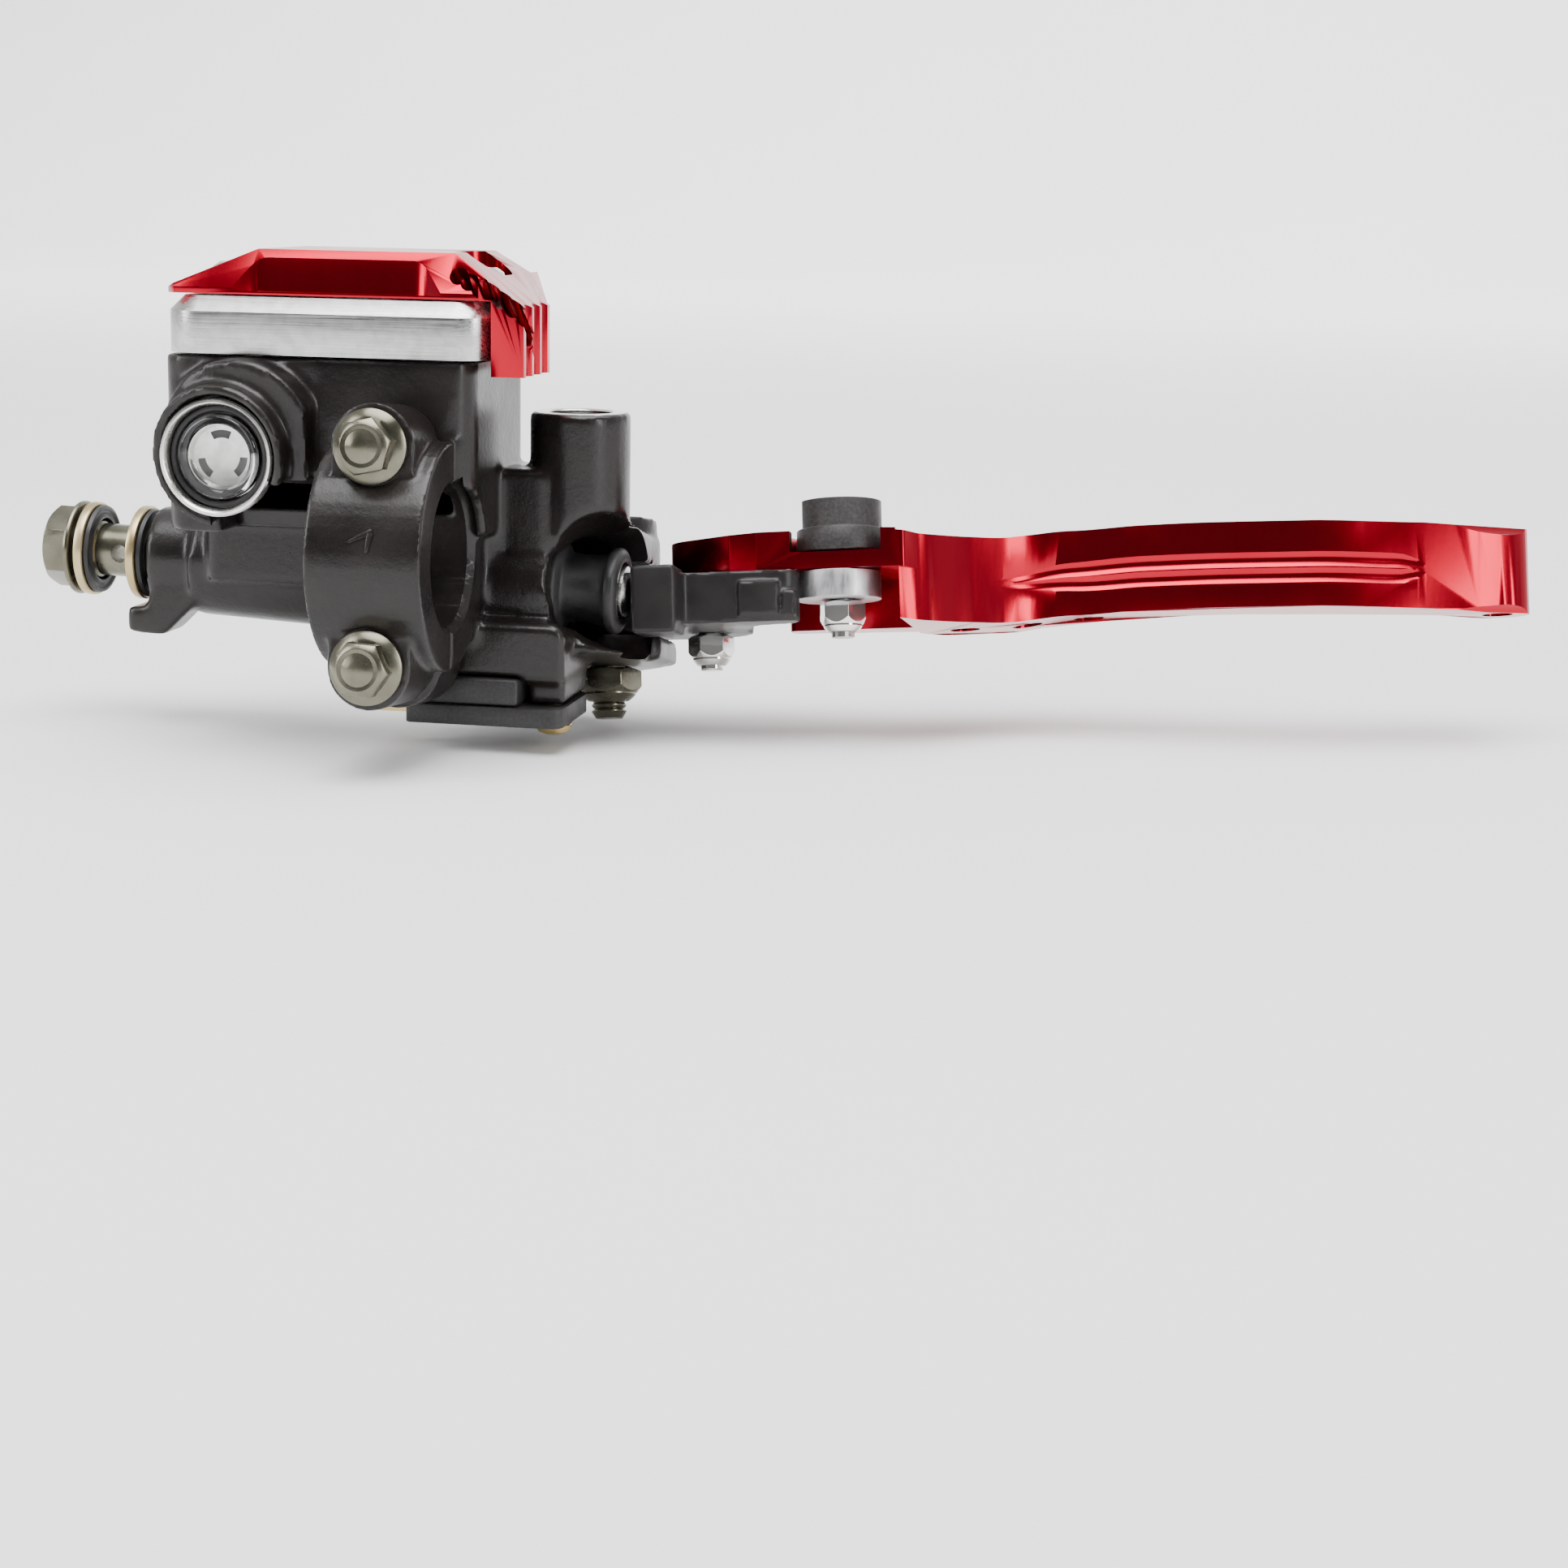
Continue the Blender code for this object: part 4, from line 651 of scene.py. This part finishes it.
# The reservoir's bare spacer and its red cap
reservoir = {"left": -39.6, "right": 14.4, "front": 1.6, "back": 36.4, "low": 30.6, "top": 39.6, "corner": 6.0,
             "chamfer": 2.4, "capTop": 47.0, "capRight": 20.0, "flatLeft": -25.0, "flatRight": 7.5,
             "capFront": 4.0, "capSlope": 0.59, "pocketWall": 6.83, "middle": 38.0,
             "screws": ((-33.6, 19.0), (8.8, 19.0))}


def makeSpacer():
    size = reservoir
    bm = prismShape(boxOutline(size["left"], size["right"], size["front"], size["back"], size["corner"]),
                    size["low"], size["top"])
    bmesh.ops.dissolve_limit(bm, angle_limit=radians(0.5), verts=bm.verts[:], edges=bm.edges[:])
    rim = [edge for edge in bm.edges if all(abs(vert.co.z - size["top"]) < 1e-4 for vert in edge.verts)]
    bmesh.ops.bevel(bm, geom=rim, offset=size["chamfer"], offset_type="OFFSET", segments=1, profile=0.5,
                    affect="EDGES", material=-1)
    obj = tool(bm)
    hollow = prismShape(boxOutline(-29.6, 6.2, 5.0, 33.0, 3.0), 25, 45)
    ledge = prismShape(boxOutline(-31.0, 7.0, 4.0, 34.0, 4.5), 37.4, 45)
    holes = [tool(rodShape(2.2, 25, 45, place, 32)) for place in size["screws"]]
    combine(obj, [tool(hollow), tool(ledge)] + holes)
    roundEdges(obj, 0.12, 2, 20)
    return finishPiece(obj, "reservoirSpacer", spacerMetal, "body", ["reservoir_spacer"], 24)


def makeCap():
    size = reservoir
    low = size["top"] + 0.3
    right, earLow = size["capRight"], 28.2
    section = [(size["left"], low), (14.7, low), (14.7, earLow), (right, earLow), (right, 38.9),
               (size["flatRight"], size["capTop"]), (size["flatLeft"], size["capTop"]), (size["left"], 40.8)]
    bm = prismShape(section, -size["back"], -size["front"])
    bm.transform(zToFront)
    obj = tool(bm)
    corners = [[(10.6, -2), (34, -2), (34, 2.6), (13.4, 2.6)], [(19.6, 18.2), (34, 18.2), (34, 42), (11, 42)],
               [(-52, -2), (-34.5, -2), (-35.6, 1.2), (-39.9, 6.2), (-52, 6.2)],
               [(-52, 42), (-34.5, 42), (-35.6, 36.8), (-39.9, 31.8), (-52, 31.8)]]
    cuts = [tool(prismShape(outline, 20, 60)) for outline in corners]
    # sloping front and back faces, each with a pocket whose ends a large cutter swept
    foot, reach, front = low + 1.0, 60.0, size["capFront"]
    slope = [(1 - low, -2.0), (1 - low, front), (-foot, front),
             (-reach, front + size["capSlope"] * (reach - foot)), (-reach, -2.0)]
    pocket = roundCorners([(-31.0, 2.0, 0.3), (-24.6, size["pocketWall"], 5.0), (2.4, size["pocketWall"], 5.0),
                           (8.8, 2.0, 0.3)], 14)
    for mirrored in (False, True):
        if mirrored:
            slope = [(u, size["middle"] - v) for u, v in slope]
            pocket = [(x, size["middle"] - y) for x, y in pocket]
        wedge = prismShape(slope, -60.0, size["right"] - 1.5)
        wedge.transform(zToX)
        cuts += [tool(wedge), tool(prismShape(pocket, low + 0.5, reach))]
    for x, y in size["screws"]:
        cuts.append(tool(prismShape(boxOutline(x - 4.2, x + 4.2, y - 5.6, y + 5.6, 4.1), 42.6, 60)))
        cuts.append(tool(rodShape(2.2, 35, 50, (x, y), 32)))
    # scallops left by a ball cutter along the sloping ends
    for k in range(7):
        t = k / 6
        x, z = 8.4 + 11.4 * t, 47.6 - 7.9 * t
        scallop = rodShape(1.5, -12, 12, segments=40)
        scallop.transform(Matrix.Translation((x + 0.3, 1.0, z - 0.25)) @ Matrix.Rotation(radians(50), 4, "X"))
        cuts.append(tool(scallop))
    for y in (5.7, 10.4, 15.1):
        cuts.append(tool(rodShape(2.3, 20, 60, (right + 1.45, y), 40)))
    combine(obj, cuts)
    roundEdges(obj, 0.16, 2, 24)
    return finishPiece(obj, "reservoirCap", redCap, "body", ["reservoir_cap"], 24)


makeSightGlass()
makeSpacer()
makeCap()
print("reservoir made")


# The lever handle: a milled bar with long finger grooves
handle = {"low": -5.3, "top": 9.2, "edge": 0.42, "deckLow": 3.2, "deckTop": 9.5, "pocketFloor": 5.9,
          "grooveHeight": 1.3, "grooveRise": 1.35, "grooveRadius": 1.9, "grooveDepth": 0.55,
          "grooveStart": 66.0, "grooveEnd": 138.5,
          "rise": ((50, 0.0), (57, -0.5), (66, -0.3), (80, 1.0), (92, 1.5), (120, 1.2), (138, 0.7), (150, 0.0))}


def smoothLine(points, steps=8):
    stations = [Vector(point) for point in points]
    stations = [2 * stations[0] - stations[1]] + stations + [2 * stations[-1] - stations[-2]]
    line = []
    for a, b, c, d in zip(stations, stations[1:], stations[2:], stations[3:]):
        for k in range(steps):
            t = k / steps
            line.append(0.5 * (2 * b + (c - a) * t + (2 * a - 5 * b + 4 * c - d) * t * t
                               + (3 * b - a - 3 * c + d) * t ** 3))
    return line + [stations[-2]]


riderSide = [(52.6, -13.0), (57.0, -9.5), (64.0, -2.0), (74.0, 4.4), (88.0, 6.4), (104.0, 5.6), (120.0, 7.0),
             (136.0, 11.4), (148.0, 16.0)]
tipRound = [(148.0, 16.0), (153.5, 18.8), (156.4, 22.6), (154.6, 26.6), (150.0, 27.6)]
farSide = [(150.0, 27.6), (138.0, 23.6), (122.0, 19.2), (104.0, 17.4), (86.0, 18.4), (70.0, 18.6), (60.0, 16.6),
           (52.6, 14.0)]


def barRise(x):
    steps = handle["rise"]
    for (before, low), (after, high) in zip(steps, steps[1:]):
        if before <= x <= after:
            t = (x - before) / (after - before)
            return low + (high - low) * t * t * (3 - 2 * t)
    return 0.0


def grooveCutter(rise):
    # a round cutter that dips into the front face and leaves it again, with tapering ends
    line = smoothLine(riderSide, 12)
    start, end, radius = handle["grooveStart"], handle["grooveEnd"], handle["grooveRadius"]
    points = []
    for before, here, after in zip(line, line[1:], line[2:]):
        if not start - 3 < here.x < end + 3:
            continue
        t = min(1, max(0, (here.x - start) / (end - start)))
        leadIn = min(1, t / 0.3)
        leadOut = min(1, (1 - t) / 0.09)
        sink = handle["grooveDepth"] * (leadIn * (2 - leadIn)) * (leadOut * (2 - leadOut)) ** 0.8
        tangent = (after - before).normalized()
        outward = Vector((tangent.y, -tangent.x))
        spot = here + outward * (radius - sink + 0.02)
        spread = 0.12 + 0.88 * (leadIn * (2 - leadIn)) * min(1, 0.4 + leadOut)
        points.append((spot.x, spot.y, handle["grooveHeight"] + rise * spread))
    curve = bpy.data.curves.new("cutter", "CURVE")
    curve.dimensions = "3D"
    curve.bevel_depth = radius
    curve.bevel_resolution = 8
    curve.use_fill_caps = True
    spline = curve.splines.new("POLY")
    spline.points.add(len(points) - 1)
    for point, co in zip(spline.points, points):
        point.co = (*co, 1)
    holder = bpy.data.objects.new("cutter", curve)
    bpy.context.scene.collection.objects.link(holder)
    mesh = bpy.data.meshes.new_from_object(holder)
    bpy.data.objects.remove(holder)
    bm = bmesh.new()
    bm.from_mesh(mesh)
    bmesh.ops.remove_doubles(bm, verts=bm.verts[:], dist=0.0005)
    bmesh.ops.recalc_face_normals(bm, faces=bm.faces[:])
    return tool(bm)


def makeHandle():
    outline = smoothLine(riderSide, 10) + smoothLine(tipRound, 8)[1:] + smoothLine(farSide, 8)[1:]
    bar = tool(prismShape(outline, handle["low"], handle["top"]))
    deck = tool(prismShape(roundCorners([
        (12.0, -5.5, 7.0), (24.0, -12.5, 4.0), (29.0, -14.4, 1.0), (53.6, -14.4, 1.0), (58.0, -6.0, 3.0),
        (58.0, 12.0, 3.0), (40.0, 11.0, 8.0), (24.0, 9.4, 6.0), (12.0, 9.0, 6.5)]),
        handle["deckLow"], handle["deckTop"]))
    wall = tool(prismShape(roundCorners([(31.0, 5.4, 1.0), (54.6, 5.3, 0.5), (54.6, 13.1, 0.5), (31.0, 10.0, 2.0)]),
                           -5.15, 5.5))
    combine(bar, [deck, wall], "UNION")
    knob = Matrix.Translation((42.2, -7.5, 0))
    pin = Matrix.Translation((18.0, 1.0, 0))
    cuts = [tool(rodShape(8.9, handle["pocketFloor"], 20), knob), tool(rodShape(2.4, 0, 20), knob),
            tool(rodShape(2.3, -10, 30), pin), tool(rodShape(4.1, 6.5, 20), pin),
            tool(blockShape((34.6, -20, handle["pocketFloor"] + 0.05), (49.8, -8.5, 20))),
            tool(blockShape((52.3, -20, handle["top"] - 0.05), (70, 20, 20)))]
    cuts += [tool(rodShape(2.6, -8, 4, place), worldFrame) for place in
             ((61.0, 8.6), (71.5, 11.2), (82.0, 12.2), (151.0, 22.0))]
    for height in (handle["low"] - 2.0, handle["top"] + 2.0):     # scoops at the tip's corners
        scoop = rodShape(4.0, -16, 16, segments=96)
        scoop.transform(Matrix.Translation((151.0, 14.6, height)) @ Matrix.Rotation(radians(31), 4, "Z") @ zToX)
        cuts.append(tool(scoop))
    combine(bar, cuts)
    roundEdges(bar, handle["edge"], 3, 30)
    combine(bar, [grooveCutter(handle["grooveRise"]), grooveCutter(-handle["grooveRise"])])
    for vert in bar.data.vertices:     # the grip stands a little higher in its middle than at its root
        vert.co.z += barRise(vert.co.x)
    placed(bar, lever)
    return finishPiece(bar, "leverHandle", redHandle, "handle", ["lever_handle"], 30)


knuckle = {"voxel": 0.35, "rounds": 4,
           "pads": (((26.4, -18.1, -4.6), (33.0, -15.0, 1.0)), ((33.8, -17.6, -4.9), (35.7, -15.0, -0.6)))}


def makeKnuckle():
    obj = copyOfNode("lever_knuckle")
    combine(obj, [tool(blockShape(*corners), lever) for corners in knuckle["pads"]], "UNION")
    castSkin(obj, knuckle["voxel"], knuckle["rounds"])
    return finishPiece(obj, "leverKnuckle", knucklePaint, "knuckle", ["lever_knuckle"])


def makeKnob():
    collar = tool(turnedShape([(6.2, 0), (6.2, 7.3), (6.4, 7.5), (9.9, 7.42), (10.2, 7.2), (10.2, 0)], 120))
    grip = tool(prismShape(roundCorners([(x, y, 0.0) for x, y in arc((0, 0), 6.9, -150, 300, 60)]), 9.7, 14.9))
    combine(collar, [grip], "UNION")
    roundEdges(collar, 0.35, 3, 40)
    combine(collar, [tool(rodShape(2.3, 0, 12.1)), tool(rodShape(1.3, 0, 11.1, (0, 4.8), 24))])
    placed(collar, adjusterPin)
    return finishPiece(collar, "adjusterKnob", knobPlastic, "adjuster", ["adjuster_knob"])


def makeSoftened(node, name, finish, body, width, segments=2, sharp=30):
    obj = roundEdges(copyOfNode(node), width, segments, 30)
    return finishPiece(obj, name, finish, body, [node], sharp)


def makeBoot():
    profile = smoothLine([(30.2, 4.9), (30.3, 5.7), (30.15, 6.5), (29.7, 7.05), (29.0, 7.2), (28.3, 7.0), (27.9, 6.5),
                          (27.0, 6.0), (25.0, 5.7), (22.6, 5.7), (21.0, 6.0), (20.4, 6.9), (19.9, 7.6), (19.2, 7.75),
                          (18.85, 7.5), (18.8, 6.5), (18.8, 5.1), (22.0, 4.8), (28.0, 4.8)], 4)
    bm = turnedShape([(point.x, point.y) for point in profile], 120)
    obj = finishPiece(objectFrom(bm, "boot", boreFrame), "dustBoot", rubber, "body", ["dust_boot"], 60)
    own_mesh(obj)
    return obj


makeHandle()
makeKnuckle()
makeKnob()
makeSoftened("adjuster_cam", "adjusterCam", camMetal, "adjuster", 0.3, 3)
makeBoot()
makeSoftened("brake_switch_case", "switchCase", switchPlastic, "body", 0.25)
makeSoftened("brake_switch_lid", "switchLid", switchPlastic, "body", 0.25)
print("lever and switch made")

# The small pieces that keep their own shape
finishes = {"diaphragm": rubber, "diaphragm_plate": plainSteel, "piston": turnedMetal, "primary_cup": rubber,
            "secondary_cup": rubber, "piston_spring": plainSteel, "piston_washer": plainSteel,
            "piston_circlip": plainSteel, "pivot_bush": plainSteel, "handle_spring": plainSteel,
            "adjuster_screw": plainSteel, "detent_ball": chromePlate, "detent_spring": plainSteel,
            "switch_plunger": brass, "switch_terminal_front": brass, "switch_terminal_rear": brass}
for node, finish in finishes.items():
    slots = frame["nodes"][node].material_slots
    for slot in slots:
        slot.material = finish


# Stage, lights and camera
def pageShape():
    # a floor that curves up into a backdrop far behind
    bm = bmesh.new()
    line = [(-3.0, 0.0), (2.4, 0.0)] + [(2.4 + 1.2 * sin(radians(a)), 1.2 - 1.2 * cos(radians(a)))
                                        for a in range(10, 91, 10)] + [(3.6, 4.0)]
    left = [bm.verts.new((-4, y, z)) for y, z in line]
    right = [bm.verts.new((4, y, z)) for y, z in line]
    for k in range(len(line) - 1):
        bm.faces.new((left[k], right[k], right[k + 1], left[k + 1]))
    return bm


floor = objectFrom(pageShape(), "floor")
floor.data.transform(Matrix.Translation((0, 0, cadBox[0][2] - 0.0006)))
floorMat, floorShader = newFinish("paleFloor", (0.86, 0.86, 0.86), 0.75, specular=0.2)
colorBy(floorMat, floorShader, addNoise(floorMat, 3), [(0.3, (0.85, 0.85, 0.85)), (0.7, (0.87, 0.87, 0.87))])
floor.data.materials.append(floorMat)
floor.data.shade_smooth()

world = bpy.data.worlds.new("studio")
bpy.context.scene.world = world
world.use_nodes = True
background = world.node_tree.nodes["Background"]
background.inputs["Color"].default_value = (1, 1, 1, 1)
# the room is bright behind and above, and dark behind the camera
direction = world.node_tree.nodes.new("ShaderNodeTexCoord")
parts = world.node_tree.nodes.new("ShaderNodeSeparateXYZ")
toBack = world.node_tree.nodes.new("ShaderNodeMapRange")
toBack.inputs["From Min"].default_value = -0.55
toBack.inputs["From Max"].default_value = 0.5
toBack.inputs["To Min"].default_value = 0.16
toBack.inputs["To Max"].default_value = 1.15
world.node_tree.links.new(direction.outputs["Generated"], parts.inputs[0])
world.node_tree.links.new(parts.outputs["Y"], toBack.inputs["Value"])
world.node_tree.links.new(toBack.outputs["Result"], background.inputs["Strength"])


def addLight(name, place, aim, size, power, color=(1, 1, 1)):
    lamp = bpy.data.lights.new(name, "AREA")
    lamp.shape = "RECTANGLE"
    lamp.size, lamp.size_y = size
    lamp.energy = power
    lamp.color = color
    obj = bpy.data.objects.new(name, lamp)
    bpy.context.scene.collection.objects.link(obj)
    obj.location = place
    obj.rotation_euler = (Vector(aim) - Vector(place)).to_track_quat("-Z", "Y").to_euler()
    return obj


addLight("topSoft", (0.1, 0.0, 0.8), (0.05, 0.02, 0), (1.0, 0.6), 9)
addLight("leftSoft", (-0.75, -0.5, 0.42), (0, 0, 0), (0.3, 0.7), 6)
addLight("rightSoft", (0.85, -0.45, 0.3), (0.06, 0, 0), (0.22, 0.6), 4)
addLight("backdropWash", (0, 1.5, 1.7), (0, 3.2, 0.4), (3.0, 0.8), 110)
sky = addLight("skyWash", (0, -0.45, 1.5), (0, 0, 0), (1, 1), 1)
sky.data.type = "SUN"
sky.data.energy = 3.0
sky.data.angle = radians(50)

camera = bpy.data.cameras.new("camera")
camera.sensor_width = 36
camera.lens = 67.08
camera.clip_start = 0.01
cameraObject = bpy.data.objects.new("camera", camera)
bpy.context.scene.collection.objects.link(cameraObject)
azimuth, elevation, roll = radians(10.3), radians(11.7), radians(1.1)
backward = Vector((sin(azimuth) * cos(elevation), -cos(azimuth) * cos(elevation), sin(elevation)))
level = Vector((cos(azimuth), sin(azimuth), 0))
upward = level.cross(-backward).normalized()
across = cos(roll) * level + sin(roll) * upward
above = cos(roll) * upward - sin(roll) * level
view = Matrix((across, above, backward)).transposed().to_4x4()
view.translation = (0.14322, -0.44152, 0.05942)
cameraObject.matrix_world = view
bpy.context.scene.camera = cameraObject
print("scene ready")
